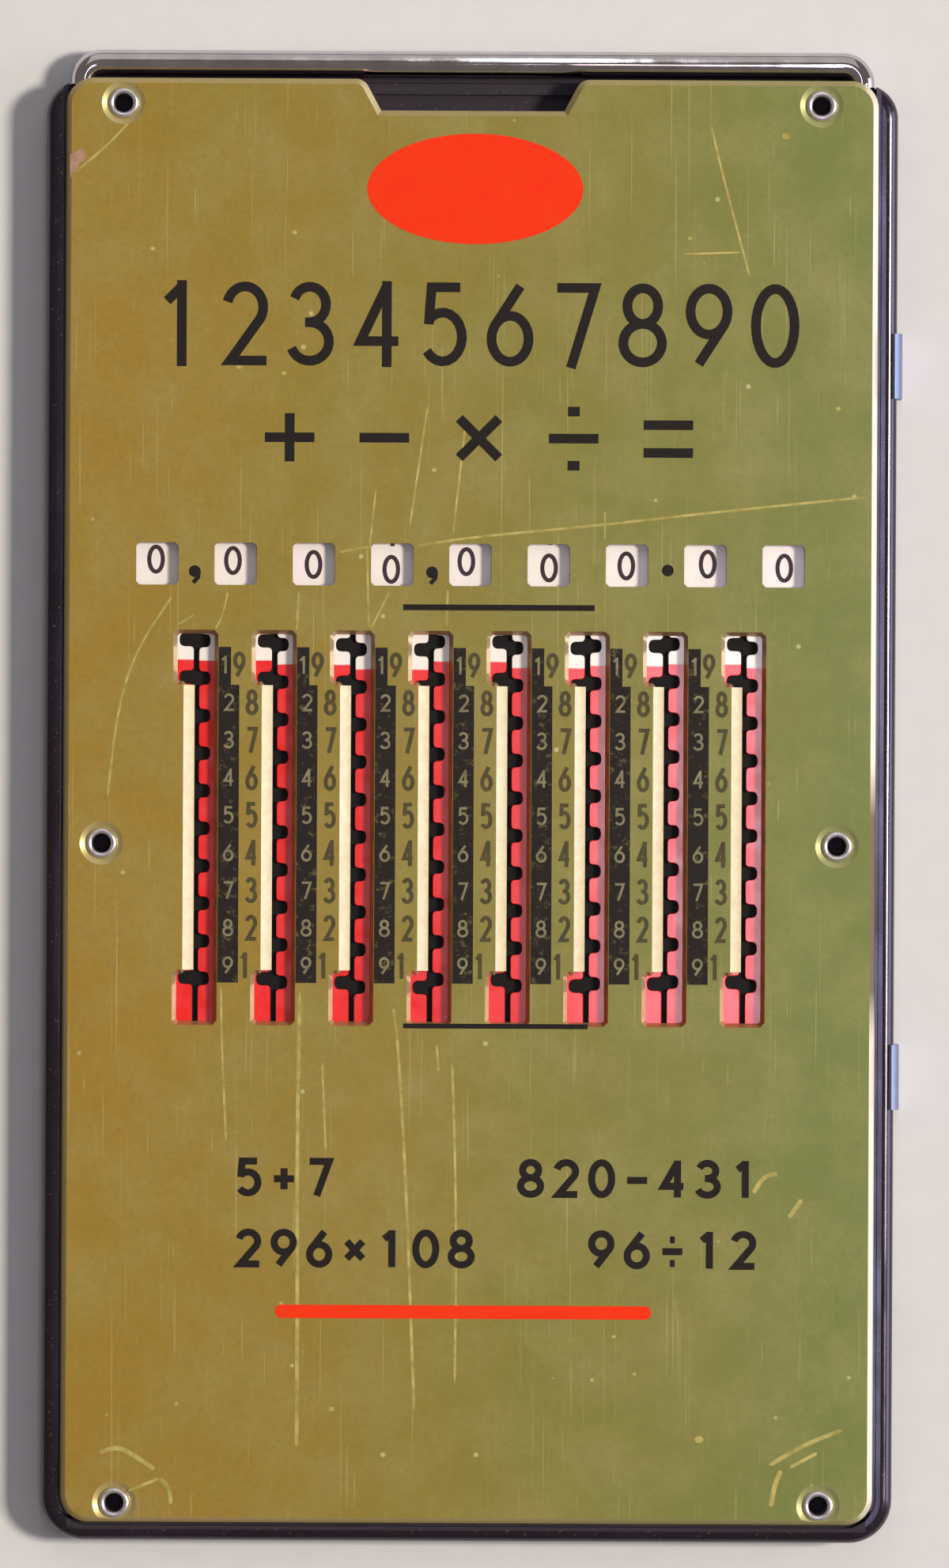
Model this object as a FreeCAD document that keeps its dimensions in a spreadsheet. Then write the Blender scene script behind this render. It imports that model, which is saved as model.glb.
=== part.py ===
import FreeCAD, Part
import math
import os
import Sketcher
from types import SimpleNamespace

# A pocket slide adder lying on its back: nine toothed slides between a pierced front plate and a
# shallow tray, and a wire bail at the top end that clears them. +X is right, +Y is towards the bail
# and +Z comes out of the face. The origin is the middle of the flat back, below the plate's centre.

# Driving sizes in millimetres, unless a line says otherwise. Each becomes a cell of the spreadsheet.
SIZES = {
    # Front plate: a shallow pan of thin sheet with a turned-down rim and a finger notch. Its length
    # is that of the works and the room beyond them, and its rim covers the legs of the bail.
    "works_below_top": 8.22,
    "works_above_bottom": 6.83,
    "plate_beyond_bail": 0.35,
    "plate_corner": 2.8,
    "sheet": 0.5,
    "rim_drop": 0.8,
    "rim_bevel": 0.55,
    "finger_notch_width": 22.0,
    "finger_notch_floor": 18.6,
    "finger_notch_depth": 3.2,
    "finger_notch_shoulder": 1.4,
    # Columns, windows and the ladder of digit rows.
    "column_count": 9,
    "column_pitch": 7.9375,
    "tooth_pitch": 3.81,
    "row_count": 9,
    "step_count": 10,
    "window_side": 4.3,
    "window_corner": 0.35,
    "window_above_first_tooth": 11.51,
    # Slots: narrow runs with a hook at each end, all with edges bent down towards the slides.
    "slot_width": 3.5,
    "slot_left_of_gap": 1.25,
    "slot_end_room": 1.0,
    "hook_height": 5.6,
    "hook_bulge": 1.05,
    "hook_corner": 0.45,
    "slot_corner": 0.25,
    "collar_wall": 0.35,
    "collar_slope": 0.4,
    "collar_drop": 0.55,
    "lip_width": 1.1,
    "lip_edge": 0.25,
    # Slides and the play round them.
    "slide_gap": 0.5575,
    "slide_thickness": 0.5,
    "slide_head_room": 0.8,
    "slide_tail": 1.6,
    "slide_corner": 0.6,
    "slide_top_play": 0.1,
    "tooth_gap": 1.35,
    "tooth_gap_depth": 1.5,
    # How far below its zero stop each slide has settled, from the left.
    "settle_1": 0.0,
    "settle_2": 0.1,
    "settle_3": 0.46,
    "settle_4": 0.92,
    "settle_5": 0.1,
    "settle_6": 0.7,
    "settle_7": 0.46,
    "settle_8": 0.24,
    "settle_9": 0.61,
    # Bed under the slides, its guide ribs, its stop ears and the felt strip let into it.
    "bed_thickness": 0.5,
    "bed_beyond_works": 2.08,
    "bed_play": 0.15,
    "bed_bail_play": 0.4,
    "guide_rib": 0.3,
    "guide_rib_rise": 0.42,
    "guide_rib_margin": 1.0,
    "ear_width": 1.5,
    "ear_length": 1.0,
    "felt_below_slide_end": 18.03,
    "felt_length": 6.0,
    "felt_play": 0.1,
    "stop_bar_length": 2.4,
    "stop_play": 0.05,
    # Back case: a moulded tray with a rounded shoulder.
    "case_below_plate": 1.9,
    "case_top_inset": 0.25,
    "case_top_corner": 3.5,
    "case_bottom_corner": 4.4,
    "case_shoulder_below_plate": 0.45,
    "shoulder_round": 1.2,
    "case_foot_bevel": 0.4,
    "case_floor": 1.0,
    "case_plate_play": 0.35,
    "case_ledge": 0.2,
    "case_end_wall": 1.1,
    "case_pocket_corner": 1.2,
    "floor_rib": 1.0,
    "floor_rib_inner_out": 11.9,
    "floor_rib_inside_bed": 10.0,
    "floor_rib_off_end": 9.25,
    "finger_recess_floor": 1.8,
    # Clearing bail: bright wire round the top end, flattened where it passes the middle eyelets.
    "wire": 2.65,
    "wire_play": 0.125,
    "wire_side_play": 0.15,
    "bail_bend": 3.2,
    "bail_rod_off_plate": 0.37,
    "bail_flat_above_middle": 2.0,
    "bail_flat_play": 0.2,
    "reset_bar_length": 3.6,
    "reset_bar_sheet": 0.4,
    "reset_bar_play": 0.05,
    "reset_bar_gap": 0.3,
    "reset_tooth_depth": 0.6,
    "reset_tooth_side_play": 0.14,
    "reset_foot": 1.9,
    "reset_bar_end_play": 0.1,
    # Hollow eyelets, pressed through the plate into bored pillars of the case.
    "eyelet_top_off_side": 5.8,
    "eyelet_top_off_end": 2.55,
    "eyelet_middle_off_works": 1.58,
    "eyelet_middle_below_first_tooth": 16.87,
    "eyelet_bottom_off_side": 5.5,
    "eyelet_bottom_off_end": 1.95,
    "eyelet_bore": 1.9,
    "eyelet_barrel": 2.2,
    "eyelet_head": 3.1,
    "eyelet_head_rise": 0.35,
    "eyelet_play": 0.05,
    "dimple": 4.4,
    "dimple_floor": 3.2,
    "dimple_depth": 0.3,
    "pillar": 2.8,
    "pillar_play": 0.1,
    # Stylus in a groove along the right wall, and the two spring clips that keep it there.
    "stylus": 1.6,
    "stylus_length": 100.0,
    "stylus_up": 1.7,
    "stylus_inside_wall": 0.1,
    "stylus_play": 0.1,
    "stylus_groove_wall": 0.4,
    "stylus_head_down": 50.0,
    "stylus_taper": 2.5,
    "stylus_tip": 0.7,
    "stylus_waist": 1.1,
    "stylus_waist_length": 4.0,
    "stylus_cap": 2.2,
    "groove_end_room": 1.0,
    "clip_sheet": 0.5,
    "clip_length": 6.6,
    "clip_off_wall": 0.05,
    "clip_leg": 5.2,
    "clip_curl": 54.0,          # degrees over the shoulder
    "clip_curl_tail": 0.1,
    "clip_upper_up": 44.35,
    "clip_lower_down": 27.8,
    "clip_recess_play": 0.1,
}

START, END, CENTRE = range(1, 4)    # the sketcher's numbers for the ends and centre of an element
AXES = -1                           # the sketcher's number for its own origin

doc = FreeCAD.newDocument("slide_adder")
sheet = doc.addObject("Spreadsheet::Sheet", "Sizes")
for row, (name, number) in enumerate(SIZES.items(), start=1):
    sheet.set(f"A{row}", str(number))
    sheet.setAlias(f"A{row}", name)
doc.recompute()


def value_of(term):
    return term.value if isinstance(term, Size) else term


def formula_of(term):
    return term.formula if isinstance(term, Size) else f"({term})"


class Size:
    """A number together with the spreadsheet formula that gives it, kept through arithmetic."""

    def __init__(self, value, formula):
        self.value = value
        self.formula = formula

    def __add__(self, other):
        return Size(self.value + value_of(other), f"({self.formula} + {formula_of(other)})")

    def __sub__(self, other):
        return Size(self.value - value_of(other), f"({self.formula} - {formula_of(other)})")

    def __mul__(self, other):
        return Size(self.value * value_of(other), f"({self.formula} * {formula_of(other)})")

    def __truediv__(self, other):
        return Size(self.value / value_of(other), f"({self.formula} / {formula_of(other)})")

    def __neg__(self):
        return self * -1


def slope_angle(across, along):
    """The angle, in degrees, of a slope that goes across while it runs along."""
    turn = math.degrees(math.atan2(across.value, along.value))
    return Size(turn, f"atan({across.formula} / {along.formula})")


def sine(angle):
    return Size(math.sin(math.radians(angle.value)), f"sin({angle.formula})")


def cosine(angle):
    return Size(math.cos(math.radians(angle.value)), f"cos({angle.formula})")


def tangent(angle):
    return Size(math.tan(math.radians(angle.value)), f"tan({angle.formula})")


mm = SimpleNamespace(**{name: Size(number, "Sizes." + name) for name, number in SIZES.items()})
NOTHING = mm.sheet * 0

# Heights above the flat back, from the bottom up.
wire_up = mm.case_floor + mm.wire_play + mm.wire / 2
rim_bottom = wire_up + mm.wire / 2 + mm.wire_play
plate_under = rim_bottom + mm.rim_drop
plate_top = plate_under + mm.sheet
slide_top = plate_under - mm.collar_drop - mm.slide_top_play
bed_top = slide_top - mm.slide_thickness
bed_bottom = bed_top - mm.bed_thickness
case_top = plate_top - mm.case_shoulder_below_plate
dimple_top = plate_top - mm.dimple_depth
spine_bottom = slide_top + mm.reset_bar_play
foot_top = bed_top + mm.reset_bar_play

# Distances from the middle to the sides, from the slides outwards.
works_side = mm.column_pitch * mm.column_count / 2
bed_side = works_side + mm.bed_beyond_works
bail_side = bed_side + mm.bed_bail_play + mm.wire
plate_side = bail_side + mm.plate_beyond_bail
works_pocket_side = plate_side - mm.case_ledge
stylus_room = mm.stylus_play + mm.stylus + mm.stylus_inside_wall
case_side = works_pocket_side + mm.stylus_groove_wall + stylus_room
stylus_out = case_side - mm.stylus_inside_wall - mm.stylus / 2
first_column = -(mm.column_pitch * (mm.column_count - 1) / 2)
first_gap = first_column + mm.column_pitch / 2
slide_width = mm.column_pitch - mm.slide_gap

# The length of the works: a slide at its highest and the reset bar at its lowest.
travel = mm.tooth_pitch * mm.step_count
slide_end_above_window = mm.window_side / 2 + travel + mm.slide_head_room
slots_below_first_tooth = mm.tooth_pitch * mm.row_count + mm.slot_end_room
bar_below_slots = mm.slide_tail + travel + mm.reset_bar_gap + mm.reset_bar_length
works_length = (slide_end_above_window + mm.window_above_first_tooth
                + slots_below_first_tooth + bar_below_slots)

# Stations along the length, from the top end down.
plate_end = (mm.works_below_top + works_length + mm.works_above_bottom) / 2
case_bottom_end = -(plate_end + mm.case_below_plate)
case_top_end = plate_end - mm.case_top_inset
slide_upper_end = plate_end - mm.works_below_top
window_up = slide_upper_end - slide_end_above_window
first_tooth_up = window_up - mm.window_above_first_tooth
slot_top = first_tooth_up + mm.tooth_pitch + mm.slot_end_room
slot_bottom = first_tooth_up - slots_below_first_tooth
lowest_tooth = first_tooth_up - mm.tooth_pitch * (mm.row_count - 1)
slide_lower_end = slot_bottom - mm.slide_tail
reset_bar_front = slide_lower_end - travel - mm.reset_bar_gap
groove_top = mm.stylus_length - mm.stylus_head_down + mm.groove_end_room

# A slide beyond the listed ones rests at its zero stop.
column_numbers = range(1, round(mm.column_count.value) + 1)
settle_drops = {number: getattr(mm, f"settle_{number}", NOTHING) for number in column_numbers}
felt_half_width = works_side - mm.guide_rib
felt_low = slide_upper_end - mm.felt_below_slide_end
felt_top = felt_low + mm.felt_length

# The reset bar may not reach the slide that has settled furthest, so its stop is set below that one.
deepest_settled = max(settle_drops.values(), key=value_of)
bar_stop_up = slide_lower_end - deepest_settled - mm.reset_bar_play

eyelet_middle_out = works_side + mm.eyelet_middle_off_works
eyelet_middle_up = first_tooth_up - mm.eyelet_middle_below_first_tooth
EYELETS = [
    (side * out, up)
    for out, up in (
        (plate_side - mm.eyelet_top_off_side, plate_end - mm.eyelet_top_off_end),
        (eyelet_middle_out, eyelet_middle_up),
        (plate_side - mm.eyelet_bottom_off_side, mm.eyelet_bottom_off_end - plate_end),
    )
    for side in (Size(-1, "-1"), Size(1, "1"))
]


def bind(target, path, size):
    target.setExpression(path, formula_of(size))


def new_body(name):
    body = doc.addObject("PartDesign::Body", name)
    body.Label = name
    return body


def sketch_on(body, name, plane, offset=NOTHING):
    """A sketch on one of the body's own planes, moved by the offset along the plane's normal."""
    sketch = body.newObject("Sketcher::SketchObject", name)
    support = next(item for item in body.Origin.OriginFeatures if item.Role == plane)
    sketch.AttachmentSupport = [(support, "")]
    sketch.MapMode = "FlatFace"
    bind(sketch, "AttachmentOffset.Base.z", offset)
    return sketch


def hold(sketch, kind, *where, size):
    """Add one dimension to a sketch and bind it to its formula."""
    index = sketch.addConstraint(Sketcher.Constraint(kind, *where, value_of(size)))
    bind(sketch, f"Constraints[{index}]", size)


def hold_point(sketch, element, end, x, y):
    hold(sketch, "DistanceX", AXES, START, element, end, size=x)
    hold(sketch, "DistanceY", AXES, START, element, end, size=y)


def circle(sketch, x, y, diameter):
    centre = FreeCAD.Vector(value_of(x), value_of(y), 0)
    ring = Part.Circle(centre, FreeCAD.Vector(0, 0, 1), value_of(diameter) / 2)
    element = sketch.addGeometry(ring)
    hold_point(sketch, element, CENTRE, x, y)
    hold(sketch, "Diameter", element, size=diameter)


def outline(sketch, corners, closed=True):
    """Straight edges through corners given as (x, y, radius); a radius of None is a sharp corner."""
    points = [FreeCAD.Vector(value_of(x), value_of(y), 0) for x, y, _ in corners]
    count = len(points)
    arrivals, departures = [], []
    for index, (_, _, radius) in enumerate(corners):
        back = (points[index - 1] - points[index]).normalize()
        ahead = (points[(index + 1) % count] - points[index]).normalize()
        reach = 0 if radius is None else value_of(radius) / math.tan(back.getAngle(ahead) / 2)
        arrivals.append(points[index] + back * reach)
        departures.append(points[index] + ahead * reach)
    edge_count = count if closed else count - 1
    edges = []
    for index in range(edge_count):
        line = Part.LineSegment(departures[index], arrivals[(index + 1) % count])
        edges.append(sketch.addGeometry(line))
    for index, (x, y, radius) in enumerate(corners):
        if not closed and index == 0:
            hold_point(sketch, edges[0], START, x, y)
        elif not closed and index == count - 1:
            hold_point(sketch, edges[-1], END, x, y)
        elif radius is None:
            before, after = edges[index - 1], edges[index]
            sketch.addConstraint(Sketcher.Constraint("Coincident", before, END, after, START))
            hold_point(sketch, after, START, x, y)
        else:
            spots = (arrivals[index], points[index], departures[index])
            round_corner(sketch, edges[index - 1], edges[index], spots, x, y, radius)


def round_corner(sketch, before, after, spots, x, y, radius):
    """Join two edges by an arc that touches both, with the sharp corner kept as a construction point."""
    arrival, corner, departure = spots
    turn = (corner - arrival).cross(departure - corner)
    inward = (arrival + departure - corner * 2).normalize()
    half_open = (arrival - corner).getAngle(departure - corner) / 2
    centre = corner + inward * (value_of(radius) / math.sin(half_open))
    first, last = (arrival, departure) if turn.z > 0 else (departure, arrival)
    angles = [math.atan2((spot - centre).y, (spot - centre).x) for spot in (first, last)]
    ring = Part.Circle(centre, FreeCAD.Vector(0, 0, 1), value_of(radius))
    arc = sketch.addGeometry(Part.ArcOfCircle(ring, angles[0], angles[1]))
    mark = sketch.addGeometry(Part.Point(corner), True)
    arc_start, arc_end = (START, END) if turn.z > 0 else (END, START)
    sketch.addConstraint(Sketcher.Constraint("Tangent", before, END, arc, arc_start))
    sketch.addConstraint(Sketcher.Constraint("Tangent", after, START, arc, arc_end))
    sketch.addConstraint(Sketcher.Constraint("PointOnObject", mark, START, before))
    sketch.addConstraint(Sketcher.Constraint("PointOnObject", mark, START, after))
    hold_point(sketch, mark, START, x, y)
    hold(sketch, "Radius", arc, size=radius)


def rectangle(sketch, left, right, low, high, radius=None):
    corners = [(left, low, radius), (right, low, radius), (right, high, radius), (left, high, radius)]
    outline(sketch, corners)


def step_towards(here, there, size):
    """The size with the sign of the way from here to there, or nothing where they are level."""
    way = value_of(there) - value_of(here)
    if abs(way) < 1e-9:
        return NOTHING
    return size if way > 0 else -size


def cut_corners(corners):
    """Square corners, given as (x, y, cut), with each point replaced by the two ends of a straight cut."""
    ends = []
    for index, (x, y, cut) in enumerate(corners):
        for next_x, next_y, _ in (corners[index - 1], corners[(index + 1) % len(corners)]):
            ends.append((x + step_towards(x, next_x, cut), y + step_towards(y, next_y, cut), None))
    return ends


def pad(body, sketch, length, downwards=False, taper=None):
    feature = body.newObject("PartDesign::Pad", sketch.Name + "_pad")
    feature.Profile = sketch
    feature.Reversed = downwards
    bind(feature, "Length", length)
    if taper is not None:
        bind(feature, "TaperAngle", taper)
    return feature


def pocket(body, sketch, length=None, upwards=False, taper=None):
    """Cut against the sketch's normal, or along it where it goes upwards; right through with no length."""
    feature = body.newObject("PartDesign::Pocket", sketch.Name + "_pocket")
    feature.Profile = sketch
    feature.Reversed = upwards
    if length is None:
        feature.Type = "ThroughAll"
        feature.SideType = "Symmetric"
    else:
        bind(feature, "Length", length)
    if taper is not None:
        bind(feature, "TaperAngle", taper)
    return feature


def repeat(body, features, sketch, axis, pitch, copies):
    """Repeat features at a pitch along one of a sketch's own axes."""
    feature = body.newObject("PartDesign::LinearPattern", features[-1].Name + "_row")
    feature.Originals = features
    feature.Direction = (sketch, [axis])
    feature.Occurrences = int(copies.value)
    bind(feature, "Occurrences", copies)
    bind(feature, "Length", pitch * (copies - 1))
    body.Tip = feature
    return feature


def edges_where(feature, wanted):
    """The names of the edges whose vertices all pass the test."""
    doc.recompute()
    names = []
    for number, edge in enumerate(feature.Shape.Edges, start=1):
        if all(wanted(vertex.Point) for vertex in edge.Vertexes):
            names.append(f"Edge{number}")
    return names


def fillet(body, feature, edge_names, radius):
    rounding = body.newObject("PartDesign::Fillet", feature.Name + "_round")
    rounding.Base = (feature, edge_names)
    bind(rounding, "Radius", radius)
    return rounding


def bevel(body, feature, edge_names, size):
    cut = body.newObject("PartDesign::Chamfer", feature.Name + "_bevel")
    cut.Base = (feature, edge_names)
    bind(cut, "Size", size)
    return cut


def place(target, x=NOTHING, y=NOTHING, z=NOTHING):
    for axis, size in zip("xyz", (x, y, z)):
        bind(target, f"Placement.Base.{axis}", size)


def group(name, members):
    """One node that holds several separate solids of one kind."""
    compound = doc.addObject("Part::Compound", name)
    compound.Label = name
    compound.Links = members
    return compound


# Front plate: blanked and drawn from thin lacquered brass sheet. The blank is hollowed from behind to
# one sheet thickness, bevelled along its upper edge, and then pierced.
def slot_corners(grow):
    """A slot beside the first gap, hooked to the left at both ends, grown outwards all round."""
    left = first_gap - mm.slot_left_of_gap
    right = left + mm.slot_width + grow
    hook_left = left - mm.hook_bulge - grow
    narrow_left = left - grow
    top, bottom = slot_top + grow, slot_bottom - grow
    top_hook = slot_top - mm.hook_height - grow
    bottom_hook = slot_bottom + mm.hook_height + grow
    outer, inner = mm.hook_corner, mm.slot_corner
    return cut_corners([
        (hook_left, bottom, outer),
        (right, bottom, outer),
        (right, top, outer),
        (hook_left, top, outer),
        (hook_left, top_hook, outer),
        (narrow_left, top_hook, inner),
        (narrow_left, bottom_hook, inner),
        (hook_left, bottom_hook, outer),
    ])


def front_plate():
    body = new_body("front_plate")
    notch_top, notch_floor = mm.finger_notch_width / 2, mm.finger_notch_floor / 2
    notch_low = plate_end - mm.finger_notch_depth
    blank_sketch = sketch_on(body, "plate_outline", "XY_Plane", rim_bottom)
    outline(blank_sketch, [
        (-plate_side, -plate_end, mm.plate_corner),
        (plate_side, -plate_end, mm.plate_corner),
        (plate_side, plate_end, mm.plate_corner),
        (notch_top, plate_end, mm.finger_notch_shoulder),
        (notch_floor, notch_low, None),
        (-notch_floor, notch_low, None),
        (-notch_top, plate_end, mm.finger_notch_shoulder),
        (-plate_side, plate_end, mm.plate_corner),
    ])
    blank = pad(body, blank_sketch, plate_top - rim_bottom)
    doc.recompute()
    lowest = min(blank.Shape.Faces, key=lambda face: face.CenterOfMass.z)
    back_face = next(i for i, f in enumerate(blank.Shape.Faces, start=1) if f.isSame(lowest))
    pan = body.newObject("PartDesign::Thickness", "plate_pan")
    pan.Base = (blank, [f"Face{back_face}"])
    pan.Reversed = True
    bind(pan, "Value", mm.sheet)
    top = plate_top.value
    bevel(body, pan, edges_where(pan, lambda p: math.isclose(p.z, top)), mm.rim_bevel)

    # Coined seats for the eyelets: a shallow cone sunk into the sheet round each hole.
    seat_slope = slope_angle((mm.dimple - mm.dimple_floor) / 2, mm.dimple_depth)
    seats = sketch_on(body, "seats", "XY_Plane", plate_top)
    eyelet_holes = sketch_on(body, "eyelet_holes", "XY_Plane", plate_top)
    for x, y in EYELETS:
        circle(seats, x, y, mm.dimple)
        circle(eyelet_holes, x, y, mm.eyelet_barrel + mm.eyelet_play * 2)
    pocket(body, seats, mm.dimple_depth, taper=-seat_slope)
    pocket(body, eyelet_holes)

    # Windows.
    window_sketch = sketch_on(body, "window", "XY_Plane", plate_top)
    reach = mm.window_side / 2
    left, right = first_column - reach, first_column + reach
    low, high = window_up - reach, window_up + reach
    corner = mm.window_corner
    outline(window_sketch, cut_corners([
        (left, low, corner), (right, low, corner), (right, high, corner), (left, high, corner),
    ]))
    window = pocket(body, window_sketch)
    repeat(body, [window], window_sketch, "H_Axis", mm.column_pitch, mm.column_count)

    # Slots: each has a collar bent down and inwards all round, and a wide lip along its left side.
    fall = mm.sheet + mm.collar_drop
    slot_slope = slope_angle(mm.collar_slope, fall)
    collar_sketch = sketch_on(body, "collar", "XY_Plane", plate_under)
    outline(collar_sketch, slot_corners(mm.collar_wall))
    collar = pad(body, collar_sketch, mm.collar_drop, downwards=True, taper=-slot_slope)
    slot_sketch = sketch_on(body, "slot", "XY_Plane", plate_top)
    outline(slot_sketch, slot_corners(NOTHING))
    slot = pocket(body, slot_sketch, fall + mm.slide_top_play, taper=-slot_slope)
    lip_start = slot_top - mm.hook_height
    lip_sketch = sketch_on(body, "lip", "XZ_Plane", -lip_start)
    left = first_gap - mm.slot_left_of_gap
    lip_bottom = plate_under - mm.collar_drop
    outline(lip_sketch, [
        (left - mm.collar_wall, plate_top, None),
        (left - mm.collar_wall, plate_under, None),
        (left, lip_bottom, None),
        (left + mm.lip_width, lip_bottom, None),
        (left + mm.lip_width, lip_bottom + mm.lip_edge, None),
        (left, plate_top, None),
    ])
    lip = pad(body, lip_sketch, lip_start - slot_bottom - mm.hook_height)
    repeat(body, [collar, slot, lip], slot_sketch, "H_Axis", mm.column_pitch, mm.column_count - 1)
    return body


# Back case: one moulding with a rounded shoulder, open at the top end for the bail.
def back_case():
    body = new_body("back_case")
    blank_sketch = sketch_on(body, "case_outline", "XY_Plane")
    outline(blank_sketch, [
        (-case_side, case_bottom_end, mm.case_bottom_corner),
        (case_side, case_bottom_end, mm.case_bottom_corner),
        (case_side, case_top_end, mm.case_top_corner),
        (-case_side, case_top_end, mm.case_top_corner),
    ])
    blank = pad(body, blank_sketch, case_top)
    top = case_top.value
    shoulder_edges = edges_where(blank, lambda p: math.isclose(p.z, top))
    shoulder = fillet(body, blank, shoulder_edges, mm.shoulder_round)
    foot_edges = edges_where(shoulder, lambda p: math.isclose(p.z + top, top))
    bevel(body, shoulder, foot_edges, mm.case_foot_bevel)

    # The upper pocket takes the plate and runs out at the top end; the lower one takes the works.
    pocket_side = plate_side + mm.case_plate_play
    open_end = case_top_end + mm.case_top_corner
    plate_pocket = sketch_on(body, "plate_pocket", "XY_Plane", rim_bottom)
    pocket_corner = mm.plate_corner + mm.case_plate_play
    outline(plate_pocket, [
        (-pocket_side, -(plate_end + mm.case_plate_play), pocket_corner),
        (pocket_side, -(plate_end + mm.case_plate_play), pocket_corner),
        (pocket_side, open_end, None),
        (-pocket_side, open_end, None),
    ])
    pocket(body, plate_pocket, case_top, upwards=True)
    works_pocket = sketch_on(body, "works_pocket", "XY_Plane", mm.case_floor)
    rectangle(works_pocket, -works_pocket_side, works_pocket_side, -(plate_end - mm.case_ledge),
              case_top_end - mm.case_end_wall, mm.case_pocket_corner)
    pocket(body, works_pocket, case_top, upwards=True)

    # The end wall is cut for the two legs of the bail and lowered for a fingernail.
    leg = bail_side - mm.wire / 2
    leg_room = mm.wire / 2 + mm.wire_side_play
    leg_gates = sketch_on(body, "leg_gates", "XY_Plane", mm.case_floor)
    inside = case_top_end - mm.case_end_wall - mm.case_pocket_corner
    for middle in (-leg, leg):
        rectangle(leg_gates, middle - leg_room, middle + leg_room, inside, open_end)
    pocket(body, leg_gates, case_top, upwards=True)
    finger_recess = sketch_on(body, "finger_recess", "XY_Plane", mm.finger_recess_floor)
    reach = mm.finger_notch_width / 2
    rectangle(finger_recess, -reach, reach, inside, open_end)
    pocket(body, finger_recess, case_top, upwards=True)

    # Floor ribs carry the bed, and square pillars, bored from the top, hold up the plate by its eyelets.
    ribs = sketch_on(body, "floor_ribs", "XY_Plane", mm.case_floor)
    half_rib = mm.floor_rib / 2
    rib_end = plate_end - mm.floor_rib_off_end
    outer_rib = bed_side - mm.floor_rib_inside_bed
    for middle in (-outer_rib, -mm.floor_rib_inner_out, mm.floor_rib_inner_out, outer_rib):
        rectangle(ribs, middle - half_rib, middle + half_rib, -rib_end, rib_end)
    pad(body, ribs, bed_bottom - mm.case_floor)
    pillars = sketch_on(body, "pillars", "XY_Plane", mm.case_floor)
    bores = sketch_on(body, "bores", "XY_Plane", mm.case_floor)
    half_pillar = mm.pillar / 2
    for x, y in EYELETS:
        rectangle(pillars, x - half_pillar, x + half_pillar, y - half_pillar, y + half_pillar)
        circle(bores, x, y, mm.eyelet_barrel + mm.eyelet_play * 2)
    pad(body, pillars, plate_under - mm.case_floor)
    pocket(body, bores, case_top, upwards=True)

    # The stylus groove is open along the right side and at the bottom end.
    groove = mm.stylus + mm.stylus_play * 2
    low, high = mm.stylus_up - groove / 2, mm.stylus_up + groove / 2
    groove_sketch = sketch_on(body, "stylus_groove", "XZ_Plane", -groove_top)
    rectangle(groove_sketch, stylus_out - groove / 2, case_side + groove, low, high)
    pocket(body, groove_sketch, groove_top - case_bottom_end + groove, upwards=True)

    # Shallow recesses in the back take the legs of the clips, each with a slot for the turned-up end.
    recesses = sketch_on(body, "clip_recesses", "XY_Plane")
    tang_slots = sketch_on(body, "clip_tang_slots", "XY_Plane")
    half_length = mm.clip_length / 2 + mm.clip_recess_play
    leg_end = case_side - mm.clip_leg
    slot_side = leg_end + mm.clip_sheet + mm.clip_recess_play * 2
    for middle in (mm.clip_upper_up, -mm.clip_lower_down):
        rectangle(recesses, leg_end, case_side + mm.clip_leg, middle - half_length, middle + half_length)
        rectangle(tang_slots, leg_end, slot_side, middle - half_length, middle + half_length)
    pocket(body, recesses, mm.clip_sheet + mm.clip_off_wall, upwards=True)
    pocket(body, tang_slots, mm.case_floor, upwards=True)
    return body


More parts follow.
